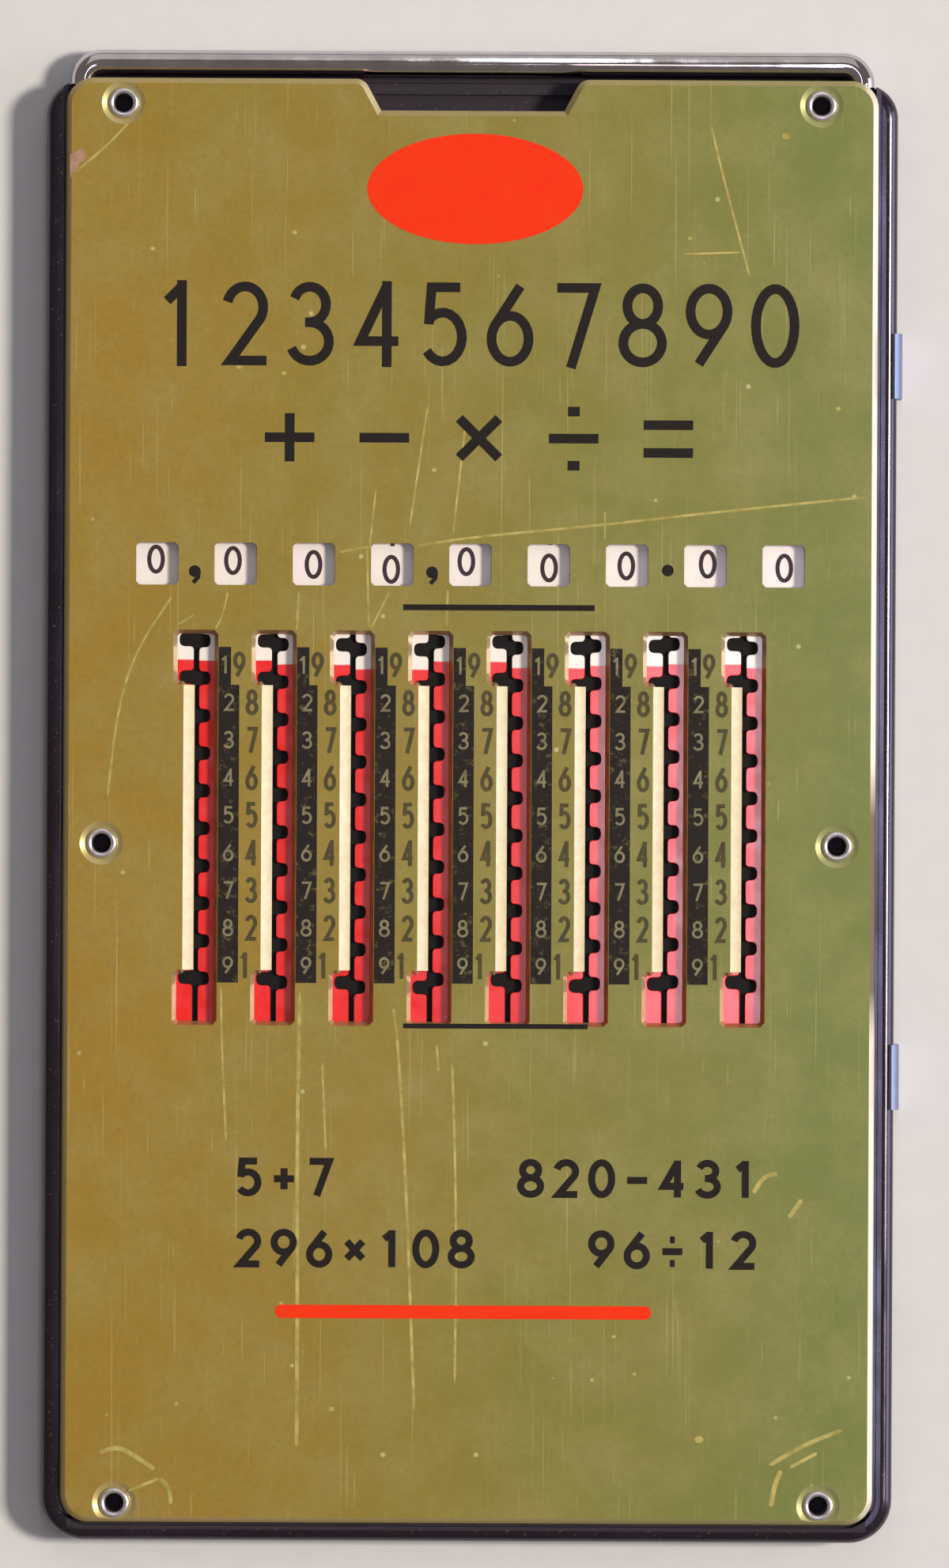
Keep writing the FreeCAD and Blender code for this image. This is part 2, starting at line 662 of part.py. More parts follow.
# Slide bed: a blackened sheet that carries the slides, with thin guide ribs between them.
def slide_bed():
    body = new_body("slide_bed")
    low = -(plate_end - mm.case_ledge - mm.bed_play)
    high = case_top_end - mm.case_end_wall - mm.bed_play
    notch_half = mm.finger_notch_width / 2 + mm.sheet
    notch_low = plate_end - mm.finger_notch_depth - mm.sheet
    sheet_sketch = sketch_on(body, "bed_outline", "XY_Plane", bed_bottom)
    outline(sheet_sketch, [
        (-bed_side, low, None),
        (bed_side, low, None),
        (bed_side, high, None),
        (notch_half, high, None),
        (notch_half, notch_low, None),
        (-notch_half, notch_low, None),
        (-notch_half, high, None),
        (-bed_side, high, None),
    ])
    pad(body, sheet_sketch, mm.bed_thickness)
    rib_sketch = sketch_on(body, "guide_ribs", "XY_Plane", bed_top)
    outer_gap = first_gap - mm.column_pitch
    left, right = outer_gap - mm.guide_rib / 2, outer_gap + mm.guide_rib / 2
    rectangle(rib_sketch, left, right, slot_top + mm.guide_rib_margin, slide_upper_end)
    rectangle(rib_sketch, left, right, slide_lower_end - travel, slot_bottom - mm.guide_rib_margin)
    ribs = pad(body, rib_sketch, mm.guide_rib_rise)
    repeat(body, [ribs], rib_sketch, "H_Axis", mm.column_pitch, mm.column_count + 1)

    # Two ears turned up at the sides stop the reset bar just short of the settled slides.
    ear_sketch = sketch_on(body, "stop_ears", "XY_Plane", bed_top)
    for left, right in ((-bed_side, mm.ear_width - bed_side), (bed_side - mm.ear_width, bed_side)):
        rectangle(ear_sketch, left, right, bar_stop_up, bar_stop_up + mm.ear_length)
    pad(body, ear_sketch, slide_top + mm.reset_bar_play + mm.reset_bar_sheet - bed_top)

    # Its edge is notched round the pillars, right out to the side and, at the corners, to the end.
    pillar_notches = sketch_on(body, "pillar_notches", "XY_Plane", bed_top)
    room = mm.pillar / 2 + mm.pillar_play
    for x, y in EYELETS:
        inner, outer = x - step_towards(NOTHING, x, room), step_towards(NOTHING, x, plate_side)
        left, right = sorted((inner, outer), key=value_of)
        at_corner = y is not eyelet_middle_up
        end = step_towards(NOTHING, y, plate_end) if at_corner else y
        low_edge, high_edge = sorted((y - room, y + room, end), key=value_of)[::2]
        rectangle(pillar_notches, left, right, low_edge, high_edge)
    pocket(body, pillar_notches)

    felt_window = sketch_on(body, "felt_window", "XY_Plane", bed_top)
    reach = felt_half_width + mm.felt_play
    rectangle(felt_window, -reach, reach, felt_low - mm.felt_play, felt_top + mm.felt_play)
    pocket(body, felt_window)
    return body


# Friction strip: dense felt let into the bed, rubbing on the backs of the slides.
def brake_felt():
    body = new_body("brake_felt")
    strip = sketch_on(body, "felt_outline", "XY_Plane", bed_bottom)
    rectangle(strip, -felt_half_width, felt_half_width, felt_low, felt_top)
    pad(body, strip, mm.bed_thickness)
    return body


# Stop bar: a flat strip across the bed that the slides' upper ends meet at zero.
def stop_bar():
    body = new_body("stop_bar")
    low = slide_upper_end + mm.stop_play
    strip = sketch_on(body, "stop_bar_outline", "XY_Plane", bed_top)
    rectangle(strip, -works_side, works_side, low, low + mm.stop_bar_length)
    pad(body, strip, plate_under - bed_top)
    return body


# Slides: flat strips of aluminium, notched at the tooth pitch along both edges.
def slide(number):
    body = new_body(f"slide_{number}")
    side = slide_width / 2
    strip = sketch_on(body, f"slide_{number}_outline", "XY_Plane")
    corner = mm.slide_corner
    outline(strip, [
        (corner - side, slide_lower_end, None),
        (side - corner, slide_lower_end, None),
        (side, slide_lower_end + corner, None),
        (side, slide_upper_end - corner, None),
        (side - corner, slide_upper_end, None),
        (corner - side, slide_upper_end, None),
        (-side, slide_upper_end - corner, None),
        (-side, slide_lower_end + corner, None),
    ])
    pad(body, strip, mm.slide_thickness)
    notches = sketch_on(body, f"slide_{number}_notches", "XY_Plane")
    low, high = lowest_tooth - mm.tooth_gap / 2, lowest_tooth + mm.tooth_gap / 2
    floor = side - mm.tooth_gap_depth
    rectangle(notches, -slide_width, -floor, low, high)
    rectangle(notches, floor, slide_width, low, high)
    cut = pocket(body, notches)
    repeat(body, [cut], notches, "V_Axis", mm.tooth_pitch, mm.row_count + mm.step_count + 1)
    column = first_column + mm.column_pitch * (number - 1)
    place(body, column, -settle_drops[number], bed_top)
    return body


# Clearing bail: one bright wire bent to a long U, its legs flattened inside below the middle.
def clearing_bail():
    body = new_body("clearing_bail")
    leg = bail_side - mm.wire / 2
    rod_up = plate_end + mm.bail_rod_off_plate + mm.wire / 2
    bend = mm.bail_bend - mm.wire / 2
    foot = reset_bar_front - mm.reset_bar_length
    run = sketch_on(body, "bail_run", "XY_Plane", wire_up)
    corners = [(-leg, foot, None), (-leg, rod_up, bend), (leg, rod_up, bend), (leg, foot, None)]
    outline(run, corners, closed=False)
    section = sketch_on(body, "bail_section", "XZ_Plane", -foot)
    circle(section, -leg, wire_up, mm.wire)
    wire = body.newObject("PartDesign::AdditivePipe", "bail_wire")
    wire.Profile = section
    wire.Spine = (run, [])
    flats = sketch_on(body, "bail_flats", "XY_Plane", wire_up)
    flat_out = eyelet_middle_out + mm.pillar / 2 + mm.bail_flat_play
    flat_high = eyelet_middle_up + mm.bail_flat_above_middle
    rectangle(flats, -flat_out, flat_out, foot - mm.wire, flat_high)
    pocket(body, flats)
    feet = sketch_on(body, "bail_feet", "XY_Plane", foot_top)
    rectangle(feet, -case_side, case_side, foot - mm.wire, reset_bar_front + mm.wire)
    pocket(body, feet, mm.wire, upwards=True)
    return body


# Reset bar: strip spot-welded by its two feet to the flattened legs of the bail. Its front edge is a
# comb that passes the guide ribs and lifts the slides.
def reset_bar():
    body = new_body("reset_bar")
    side = plate_side - mm.sheet - mm.reset_bar_end_play
    back = reset_bar_front - mm.reset_bar_length
    spine = sketch_on(body, "reset_spine", "XY_Plane", spine_bottom)
    rectangle(spine, -side, side, back, reset_bar_front)
    pad(body, spine, mm.reset_bar_sheet)
    feet = sketch_on(body, "reset_feet", "XY_Plane", foot_top)
    for left, right in ((-side, mm.reset_foot - side), (side - mm.reset_foot, side)):
        rectangle(feet, left, right, back, reset_bar_front)
    pad(body, feet, spine_bottom - foot_top)
    tooth_sketch = sketch_on(body, "reset_tooth", "XY_Plane", foot_top)
    half_tooth = slide_width / 2 - mm.reset_tooth_side_play
    rectangle(tooth_sketch, first_column - half_tooth, first_column + half_tooth,
              reset_bar_front - mm.reset_tooth_depth, reset_bar_front)
    tooth = pad(body, tooth_sketch, spine_bottom - foot_top)
    repeat(body, [tooth], tooth_sketch, "H_Axis", mm.column_pitch, mm.column_count)
    return body


# Eyelets: thin nickelled tube with a coned head, pressed into the pillars as far as the seats.
def eyelet(name, x, y):
    body = new_body(name)
    bore, barrel, head = mm.eyelet_bore / 2, mm.eyelet_barrel / 2, mm.eyelet_head / 2
    section = sketch_on(body, name + "_section", "XZ_Plane")
    outline(section, [
        (bore, mm.case_floor + mm.eyelet_play, None),
        (barrel, mm.case_floor + mm.eyelet_play, None),
        (barrel, dimple_top, None),
        (head, dimple_top, None),
        (bore, dimple_top + mm.eyelet_head_rise, None),
    ])
    turned = body.newObject("PartDesign::Revolution", name + "_turned")
    turned.Profile = section
    turned.ReferenceAxis = (section, ["V_Axis"])
    turned.Angle = 360
    place(body, x, y)
    return body


def eyelets():
    return group("eyelets", [eyelet(f"eyelet_{i}", x, y) for i, (x, y) in enumerate(EYELETS, start=1)])


# Stylus: turned steel with a waist to grip below a plain cap, and a tapered, blunt point.
def stylus():
    body = new_body("stylus")
    radius, tip, waist = mm.stylus / 2, mm.stylus_tip / 2, mm.stylus_waist / 2
    waist_end = mm.stylus_cap + mm.stylus_waist_length
    section = sketch_on(body, "stylus_section", "XY_Plane")
    outline(section, [
        (NOTHING, NOTHING, None),
        (radius, NOTHING, None),
        (radius, mm.stylus_cap, None),
        (waist, mm.stylus_cap, None),
        (waist, waist_end, None),
        (radius, waist_end, None),
        (radius, mm.stylus_length - mm.stylus_taper, None),
        (tip, mm.stylus_length, None),
        (NOTHING, mm.stylus_length, None),
    ])
    turned = body.newObject("PartDesign::Revolution", "stylus_turned")
    turned.Profile = section
    turned.ReferenceAxis = (section, ["V_Axis"])
    turned.Angle = 360
    place(body, stylus_out, -mm.stylus_head_down, mm.stylus_up)
    return body


# Stylus clips: spring strip hooked through the floor, led out under the back, up over the stylus
# groove and curled over the shoulder.
def stylus_clip(name, middle):
    body = new_body(name)
    wall = case_side + mm.clip_off_wall
    under = mm.clip_off_wall
    bend = mm.shoulder_round + mm.clip_off_wall
    curl_start = case_top - mm.shoulder_round
    tip_run = bend * tangent(mm.clip_curl / 2) + mm.clip_curl_tail
    outer_bend = bend + mm.clip_sheet
    outer_run = outer_bend * tangent(mm.clip_curl / 2) + mm.clip_curl_tail
    inner_corner = curl_start + bend * tangent(mm.clip_curl / 2)
    outer_corner = curl_start + outer_bend * tangent(mm.clip_curl / 2)
    lean, rise = sine(mm.clip_curl), cosine(mm.clip_curl)
    leg_end = case_side - mm.clip_leg + mm.clip_recess_play
    section = sketch_on(body, name + "_section", "XZ_Plane", -(middle + mm.clip_length / 2))
    outline(section, [
        (leg_end, under, None),
        (wall + mm.clip_sheet, under, mm.clip_sheet),
        (wall + mm.clip_sheet, outer_corner, outer_bend),
        (wall + mm.clip_sheet - outer_run * lean, outer_corner + outer_run * rise, None),
        (wall - tip_run * lean, inner_corner + tip_run * rise, None),
        (wall, inner_corner, bend),
        (wall, under + mm.clip_sheet, None),
        (leg_end + mm.clip_sheet, under + mm.clip_sheet, None),
        (leg_end + mm.clip_sheet, mm.case_floor, None),
        (leg_end, mm.case_floor, None),
    ])
    pad(body, section, mm.clip_length)
    return body


sub_parts = [
    front_plate(),
    back_case(),
    slide_bed(),
    brake_felt(),
    stop_bar(),
    *[slide(number) for number in column_numbers],
    clearing_bail(),
    reset_bar(),
    eyelets(),
    stylus(),
    stylus_clip("stylus_clip_upper", mm.clip_upper_up),
    stylus_clip("stylus_clip_lower", -mm.clip_lower_down),
]
doc.recompute()

failed = [item.Name for item in doc.Objects if {"Invalid", "Error"} & set(item.State)]
broken = [item.Label for item in sub_parts if item.Shape.isNull() or not item.Shape.isValid()]
if failed or broken:
    raise SystemExit(f"failed objects: {failed}; broken shapes: {broken}")

os.makedirs("parts", exist_ok=True)
for item in sub_parts:
    item.Shape.exportStep(f"parts/{item.Label}.step")
    box = item.Shape.BoundBox
    print(f"{item.Label}: {len(item.Shape.Solids)} solid, {item.Shape.Volume:.2f} mm3, "
          f"x {box.XMin:.2f}..{box.XMax:.2f}, y {box.YMin:.2f}..{box.YMax:.2f}, "
          f"z {box.ZMin:.2f}..{box.ZMax:.2f}")
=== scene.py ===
import math

import bpy
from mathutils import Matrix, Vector


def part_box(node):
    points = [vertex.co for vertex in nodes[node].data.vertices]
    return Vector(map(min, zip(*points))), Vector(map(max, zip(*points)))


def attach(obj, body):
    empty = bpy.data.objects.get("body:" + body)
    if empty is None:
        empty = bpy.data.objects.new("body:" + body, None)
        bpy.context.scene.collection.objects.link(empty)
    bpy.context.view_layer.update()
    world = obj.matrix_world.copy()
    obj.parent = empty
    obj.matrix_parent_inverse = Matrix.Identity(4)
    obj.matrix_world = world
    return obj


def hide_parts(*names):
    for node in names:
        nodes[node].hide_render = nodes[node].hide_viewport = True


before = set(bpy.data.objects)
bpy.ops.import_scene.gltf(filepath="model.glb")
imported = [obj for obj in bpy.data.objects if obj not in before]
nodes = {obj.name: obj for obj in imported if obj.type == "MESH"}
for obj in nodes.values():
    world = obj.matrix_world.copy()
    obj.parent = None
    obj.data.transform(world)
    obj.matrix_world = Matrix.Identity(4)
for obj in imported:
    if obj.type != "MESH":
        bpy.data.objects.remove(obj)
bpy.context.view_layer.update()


# ---- Back case -------------------------------------------------------------------------------
# A shallow tray moulded in brown-black polystyrene and polished, with a rounded shoulder. It lies
# under everything and shows as a dark, shiny frame round the plate and in the finger notch.
MM = 0.001


def linear(hex_code):
    """The linear colour of an sRGB hex value."""
    channels = [int(hex_code[i:i + 2], 16) / 255 for i in (1, 3, 5)]
    return (*[c / 12.92 if c <= 0.04045 else ((c + 0.055) / 1.055) ** 2.4 for c in channels], 1)


def per_metre(millimetres):
    """A pattern's scale, where one repeat measures that many millimetres."""
    return 1 / (millimetres * MM)


def add_node(material, kind, inputs=None, **settings):
    """Add one shader node; an input is either a plain value or another node's output.

    Inputs that share a name go by number: Mix goes from colour 6 to 7, or from value 2 to 3, by the
    share 0; MapRange leads 1 to 2 onto 3 to 4; Math takes 0, 1 and 2.
    """
    made = material.node_tree.nodes.new(f"ShaderNode{kind}")
    for name, value in settings.items():
        setattr(made, name, value)
    for name, value in (inputs or {}).items():
        if isinstance(value, bpy.types.NodeSocket):
            material.node_tree.links.new(value, made.inputs[name])
        else:
            made.inputs[name].default_value = value
    return made


def start_material(name, **values):
    """A new material, its shader with the plain values set, and the output for places on the piece."""
    material = bpy.data.materials.new(name)
    material.use_nodes = True
    shader = material.node_tree.nodes["Principled BSDF"]
    for socket, value in values.items():
        shader.inputs[socket.replace("_", " ")].default_value = value
    return material, shader, add_node(material, "TexCoord").outputs["Object"]


def connect(material, shader, **outputs):
    """Lead node outputs to the shader's sockets of those names."""
    for socket, output in outputs.items():
        material.node_tree.links.new(output, shader.inputs[socket.replace("_", " ")])


def dress(material, *node_names):
    for name in node_names:
        nodes[name].material_slots[0].material = material


def arc(x, y, across, up, start, end, count=16):
    """Points along an ellipse between two angles in degrees, anticlockwise from the right."""
    turns = [math.radians(start + (end - start) * i / count) for i in range(count + 1)]
    return [(x + across * math.cos(turn), y + up * math.sin(turn)) for turn in turns]


def rounded(corners, count=4):
    """The points of a closed outline, given as (x, y, radius), with its corners rounded."""
    points = []
    for index, (x, y, radius) in enumerate(corners):
        here = Vector((x, y))
        arrive = (Vector(corners[index - 1][:2]) - here).normalized()
        leave = (Vector(corners[(index + 1) % len(corners)][:2]) - here).normalized()
        start, end = here + arrive * radius, here + leave * radius
        for step in range(count + 1):
            share = step / count
            points.append(tuple(start * (1 - share) ** 2 + here * 2 * share * (1 - share) + end * share ** 2))
    return points


SHARPEST_MITRE = 0.42


def shifted(points, distance, closed=False):
    """A line of points moved sideways to its left, with mitred corners."""
    moved = []
    last = len(points) - 1
    for index, point in enumerate(points):
        before = Vector(points[index - 1]) if closed or index > 0 else None
        after = Vector(points[(index + 1) % len(points)]) if closed or index < last else None
        here = Vector(point)
        ways = [way.normalized() for way in (before and here - before, after and after - here) if way]
        bisector = (ways[0] + ways[-1]).normalized()
        reach = distance / max(bisector.dot(ways[-1]), SHARPEST_MITRE)
        moved.append((here.x - bisector.y * reach, here.y + bisector.x * reach))
    return moved


# Outlines that cross, such as two pen strokes, stand a hair apart in height, in turns.
OVERPRINT, OVERPRINT_TURNS = 0.001, 4


def stand(name, outlines, levels, material, body):
    """Raise closed outlines, in millimetres, through levels given as (height, inset)."""
    mesh = bpy.data.meshes.new(name)
    corners, faces = [], []
    for number, outline in enumerate(outlines):
        count, base = len(outline), len(corners)
        lift = number % OVERPRINT_TURNS * OVERPRINT
        for height, inset in levels:
            ring = shifted(outline, inset, closed=True) if inset else outline
            corners += [(x * MM, y * MM, (height + lift) * MM) for x, y in ring]
        faces.append([base + i for i in reversed(range(count))])
        faces.append([base + (len(levels) - 1) * count + i for i in range(count)])
        for level in range(len(levels) - 1):
            low = base + level * count
            for i in range(count):
                after = (i + 1) % count
                faces.append([low + i, low + after, low + count + after, low + count + i])
    mesh.from_pydata(corners, [], faces)
    mesh.validate()
    mesh.materials.append(material)
    piece = bpy.data.objects.new(name, mesh)
    bpy.context.collection.objects.link(piece)
    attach(piece, body)
    return piece


# Polystyrene, polished outside and handled to a satin: a broad soft sheen along the shoulder, with
# a little dust and hairlines, both drawn coarser than real. Inside the tray it is matt, as moulded.
# The lavender tint on the reflections is a painted reflection colour, of cool surroundings.
styrene, shader, place = start_material("polished_black_styrene", IOR=1.57, Specular_Tint=linear("#E8E4F6"))
cloud = add_node(styrene, "TexNoise", {"Vector": place, "Scale": per_metre(9), "Detail": 5})
dust = add_node(styrene, "TexNoise", {"Vector": place, "Scale": per_metre(0.35), "Detail": 2})
speck = add_node(styrene, "MapRange", {"Value": dust.outputs["Fac"], 1: 0.66, 2: 0.74, 3: 0, 4: 0.5})
tone = add_node(styrene, "Mix", {0: cloud.outputs["Fac"], 6: linear("#171218"), 7: linear("#261D26")},
                data_type="RGBA")
dusty = add_node(styrene, "Mix", {0: speck.outputs["Result"], 6: tone.outputs[2], 7: linear("#6A5F62")},
                 data_type="RGBA")
satin = add_node(styrene, "MapRange", {"Value": cloud.outputs["Fac"], 1: 0.35, 2: 0.7, 3: 0.12, 4: 0.22})
TRAY_SIDE, TRAY_END, MOULDED_MATT = 40.5 * MM, 74.0 * MM, 0.62
off_middle = add_node(styrene, "VectorMath", {"Vector": place}, operation="ABSOLUTE")
reach = add_node(styrene, "SeparateXYZ", {"Vector": off_middle.outputs["Vector"]})
normal = add_node(styrene, "SeparateXYZ", {"Vector": add_node(styrene, "NewGeometry").outputs["True Normal"]})
within = add_node(styrene, "Math", {0: reach.outputs["X"], 1: TRAY_SIDE}, operation="LESS_THAN")
short_of_end = add_node(styrene, "Math", {0: reach.outputs["Y"], 1: TRAY_END}, operation="LESS_THAN")
not_under = add_node(styrene, "Math", {0: normal.outputs["Z"], 1: -0.5}, operation="GREATER_THAN")
in_tray = add_node(styrene, "Math", {0: within.outputs["Value"], 1: short_of_end.outputs["Value"]},
                   operation="MULTIPLY")
inside = add_node(styrene, "Math", {0: in_tray.outputs["Value"], 1: not_under.outputs["Value"]},
                  operation="MULTIPLY")
sheen = add_node(styrene, "Mix", {0: inside.outputs["Value"], 2: satin.outputs["Result"], 3: MOULDED_MATT})
stretch = add_node(styrene, "Mapping", {"Vector": place, "Scale": (1, 0.05, 1)})
hairline = add_node(styrene, "TexNoise", {"Vector": stretch.outputs["Vector"], "Scale": per_metre(0.3)})
dents = add_node(styrene, "Bump", {"Height": hairline.outputs["Fac"], "Strength": 0.08,
                                   "Distance": 0.02 * MM})
connect(styrene, shader, Base_Color=dusty.outputs[2], Roughness=sheen.outputs[0],
        Normal=dents.outputs["Normal"])
dress(styrene, "back_case")

# The case's floor runs on a little under the bail, as a thin ledge with a rounded front corner.
LEDGE_SIDE, LEDGE_ROOT, LEDGE_FRONT, LEDGE_CORNER = 39.0, 72.9, 75.3, 1.5
LEDGE_UNDER, LEDGE_TOP, LEDGE_ROUND = 0.08, 0.92, 0.2
ledge = rounded([(-LEDGE_SIDE, LEDGE_ROOT, 0.1), (LEDGE_SIDE, LEDGE_ROOT, 0.1),
                 (LEDGE_SIDE, LEDGE_FRONT, LEDGE_CORNER), (-LEDGE_SIDE, LEDGE_FRONT, LEDGE_CORNER)])
levels = [(LEDGE_UNDER, LEDGE_ROUND), (LEDGE_UNDER + LEDGE_ROUND, 0), (LEDGE_TOP - LEDGE_ROUND, 0),
          (LEDGE_TOP, LEDGE_ROUND)]
stand("case_end_ledge", [ledge], levels, styrene, "case")


# ---- Slide bed and stop bar ------------------------------------------------------------------
# The bed is pressed steel sheet, stove-blackened so that it shows dark between the slides' teeth.
# The stop bar is a strip of mill-finish aluminium that lies across it under the plate.

# Stoved black: matt, with grey steel where the slides have rubbed. Its grit is coarser than real.
black_steel, shader, place = start_material("stoved_black_on_steel", IOR=1.35)
grit = add_node(black_steel, "TexNoise", {"Vector": place, "Scale": per_metre(0.25), "Detail": 4})
wear = add_node(black_steel, "MapRange", {"Value": grit.outputs["Fac"], 1: 0.5, 2: 0.75, 3: 0, 4: 0.25})
tone = add_node(black_steel, "Mix", {0: wear.outputs["Result"], 6: linear("#0B070D"), 7: linear("#231D22")},
                data_type="RGBA")
matt = add_node(black_steel, "MapRange", {"Value": grit.outputs["Fac"], 3: 0.5, 4: 0.75})
grain = add_node(black_steel, "Bump", {"Height": grit.outputs["Fac"], "Strength": 0.2, "Distance": 0.01 * MM})
connect(black_steel, shader, Base_Color=tone.outputs[2], Roughness=matt.outputs["Result"],
        Normal=grain.outputs["Normal"])
dress(black_steel, "slide_bed")

# Mill-finish aluminium: a soft grey with lengthwise rolling lines, drawn coarser than real to show.
aluminium, shader, place = start_material("mill_finish_aluminium", Metallic=1.0)
drawn = add_node(aluminium, "Mapping", {"Vector": place, "Scale": (0.03, 1, 1)})
lines = add_node(aluminium, "TexNoise", {"Vector": drawn.outputs["Vector"], "Scale": per_metre(0.15)})
tone = add_node(aluminium, "Mix", {0: lines.outputs["Fac"], 6: linear("#A9AAAD"), 7: linear("#CFCFD0")},
                data_type="RGBA")
soft = add_node(aluminium, "MapRange", {"Value": lines.outputs["Fac"], 3: 0.3, 4: 0.5})
ridges = add_node(aluminium, "Bump", {"Height": lines.outputs["Fac"], "Strength": 0.2, "Distance": 0.01 * MM})
connect(aluminium, shader, Base_Color=tone.outputs[2], Roughness=soft.outputs["Result"],
        Normal=ridges.outputs["Normal"])
dress(aluminium, "stop_bar")


# ---- Brake felt ------------------------------------------------------------------------------
# A strip of dense wool felt, let into a window of the bed, that rubs on the backs of the slides. It
# is a dull charcoal with a short, tangled nap, whose fibres are drawn coarser than real.
felt, shader, place = start_material("dense_wool_felt", Sheen_Weight=0.4, Sheen_Roughness=0.5,
                                     Roughness=0.95)
fibres = add_node(felt, "TexNoise", {"Vector": place, "Scale": per_metre(0.12), "Detail": 6,
                                     "Distortion": 1.5})
tone = add_node(felt, "Mix", {0: fibres.outputs["Fac"], 6: linear("#231F22"), 7: linear("#4A4347")},
                data_type="RGBA")
nap = add_node(felt, "Bump", {"Height": fibres.outputs["Fac"], "Strength": 0.7, "Distance": 0.08 * MM})
connect(felt, shader, Base_Color=tone.outputs[2], Normal=nap.outputs["Normal"])
dress(felt, "brake_felt")


# ---- Slides ----------------------------------------------------------------------------------
# Nine strips of aluminium, stamped with teeth along both edges and enamelled on the face: white
# where the numbers are printed, glossy red below, to warn that a column has to carry.
SLIDE_NAMES = [f"slide_{number}" for number in range(1, 10)]
TOOTH_PITCH = 3.81
NOTCH_COUNT = 20
FIRST_NOTCH = 6.41
NOTCH, LEFT_NOTCH_DEPTH, RIGHT_NOTCH_DEPTH = 1.35, 1.15, 1.45
NOTCH_MOUTH_ROUND, NOTCH_FLOOR_ROUND = 0.42, 0.6
SLIDE_CORNER = 0.6
SHEAR_ROUND = 0.05
TOP_TO_RED = 50.76
RED_EDGE_BLUR, RED_EDGE_WAVER = 0.0008, 0.0012
TOP_TO_ZERO = 40.6
NUMBER_COUNT = 11

# Stoved enamel on aluminium: a wet gloss over a sharp colour change, with grey metal where the
# edges are sheared and fine dirt in the gloss.
enamel, shader, place = start_material("red_and_white_enamel", IOR=1.52, Coat_Weight=0.5,
                                       Coat_Roughness=0.05)
whole = add_node(enamel, "SeparateXYZ", {"Vector": add_node(enamel, "TexCoord").outputs["Generated"]})
smear = add_node(enamel, "TexNoise", {"Vector": place, "Scale": per_metre(1.8), "Detail": 4})
waver = add_node(enamel, "MapRange", {"Value": smear.outputs["Fac"], 3: -RED_EDGE_WAVER, 4: RED_EDGE_WAVER})
edge_line = add_node(enamel, "Math", {0: whole.outputs["Y"], 1: waver.outputs["Result"]}, operation="ADD")
slide_low, slide_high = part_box("slide_1")
red_share = 1 - TOP_TO_RED * MM / (slide_high.y - slide_low.y)
is_white = add_node(enamel, "MapRange", {"Value": edge_line.outputs["Value"],
                                         1: red_share - RED_EDGE_BLUR, 2: red_share + RED_EDGE_BLUR})
white = add_node(enamel, "Mix", {0: smear.outputs["Fac"], 6: linear("#FFFCFA"), 7: linear("#F4EEEC")},
                 data_type="RGBA")
red = add_node(enamel, "Mix", {0: smear.outputs["Fac"], 6: linear("#E91B1E"), 7: linear("#F5322C")},
               data_type="RGBA")
face = add_node(enamel, "Mix", {0: is_white.outputs["Result"], 6: red.outputs[2], 7: white.outputs[2]},
                data_type="RGBA")
normal = add_node(enamel, "SeparateXYZ", {"Vector": add_node(enamel, "NewGeometry").outputs["True Normal"]})
sheared = add_node(enamel, "MapRange", {"Value": normal.outputs["Z"], 1: 0.5, 2: 0.2})
colour = add_node(enamel, "Mix", {0: sheared.outputs["Result"], 6: face.outputs[2], 7: linear("#7A6A66")},
                  data_type="RGBA")
gloss = add_node(enamel, "MapRange", {"Value": smear.outputs["Fac"], 1: 0.3, 2: 0.75, 3: 0.1, 4: 0.26})
ripple = add_node(enamel, "Bump", {"Height": smear.outputs["Fac"], "Strength": 0.1, "Distance": 0.02 * MM})
connect(enamel, shader, Base_Color=colour.outputs[2], Metallic=sheared.outputs["Result"],
        Roughness=gloss.outputs["Result"], Normal=ripple.outputs["Normal"])

# Each strip stands in for its node, with rounded notches. Its outline runs up the right edge, across
# the top and down the left edge.
for name in SLIDE_NAMES:
    low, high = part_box(name)
    left, right, bottom, top = low.x / MM, high.x / MM, low.y / MM, high.y / MM
    right_edge, left_edge = [], []
    for notch in range(NOTCH_COUNT):
        middle = bottom + FIRST_NOTCH + notch * TOOTH_PITCH
        low_side, high_side = middle - NOTCH / 2, middle + NOTCH / 2
        for edge_points, edge, deepest in ((right_edge, right, right - RIGHT_NOTCH_DEPTH),
                                           (left_edge, left, left + LEFT_NOTCH_DEPTH)):
            edge_points += [(edge, low_side, NOTCH_MOUTH_ROUND), (deepest, low_side, NOTCH_FLOOR_ROUND),
                            (deepest, high_side, NOTCH_FLOOR_ROUND), (edge, high_side, NOTCH_MOUTH_ROUND)]
    corners = [(right, bottom, SLIDE_CORNER)] + right_edge
    corners += [(right, top, SLIDE_CORNER), (left, top, SLIDE_CORNER)]
    corners += left_edge[::-1] + [(left, bottom, SLIDE_CORNER)]
    back, face_up = low.z / MM, high.z / MM
    levels = [(back, SHEAR_ROUND), (back + SHEAR_ROUND, 0), (face_up - SHEAR_ROUND, 0),
              (face_up, SHEAR_ROUND)]
    strip = stand(f"{name}_strip", [rounded(corners)], levels, enamel, name)
    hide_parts(name)

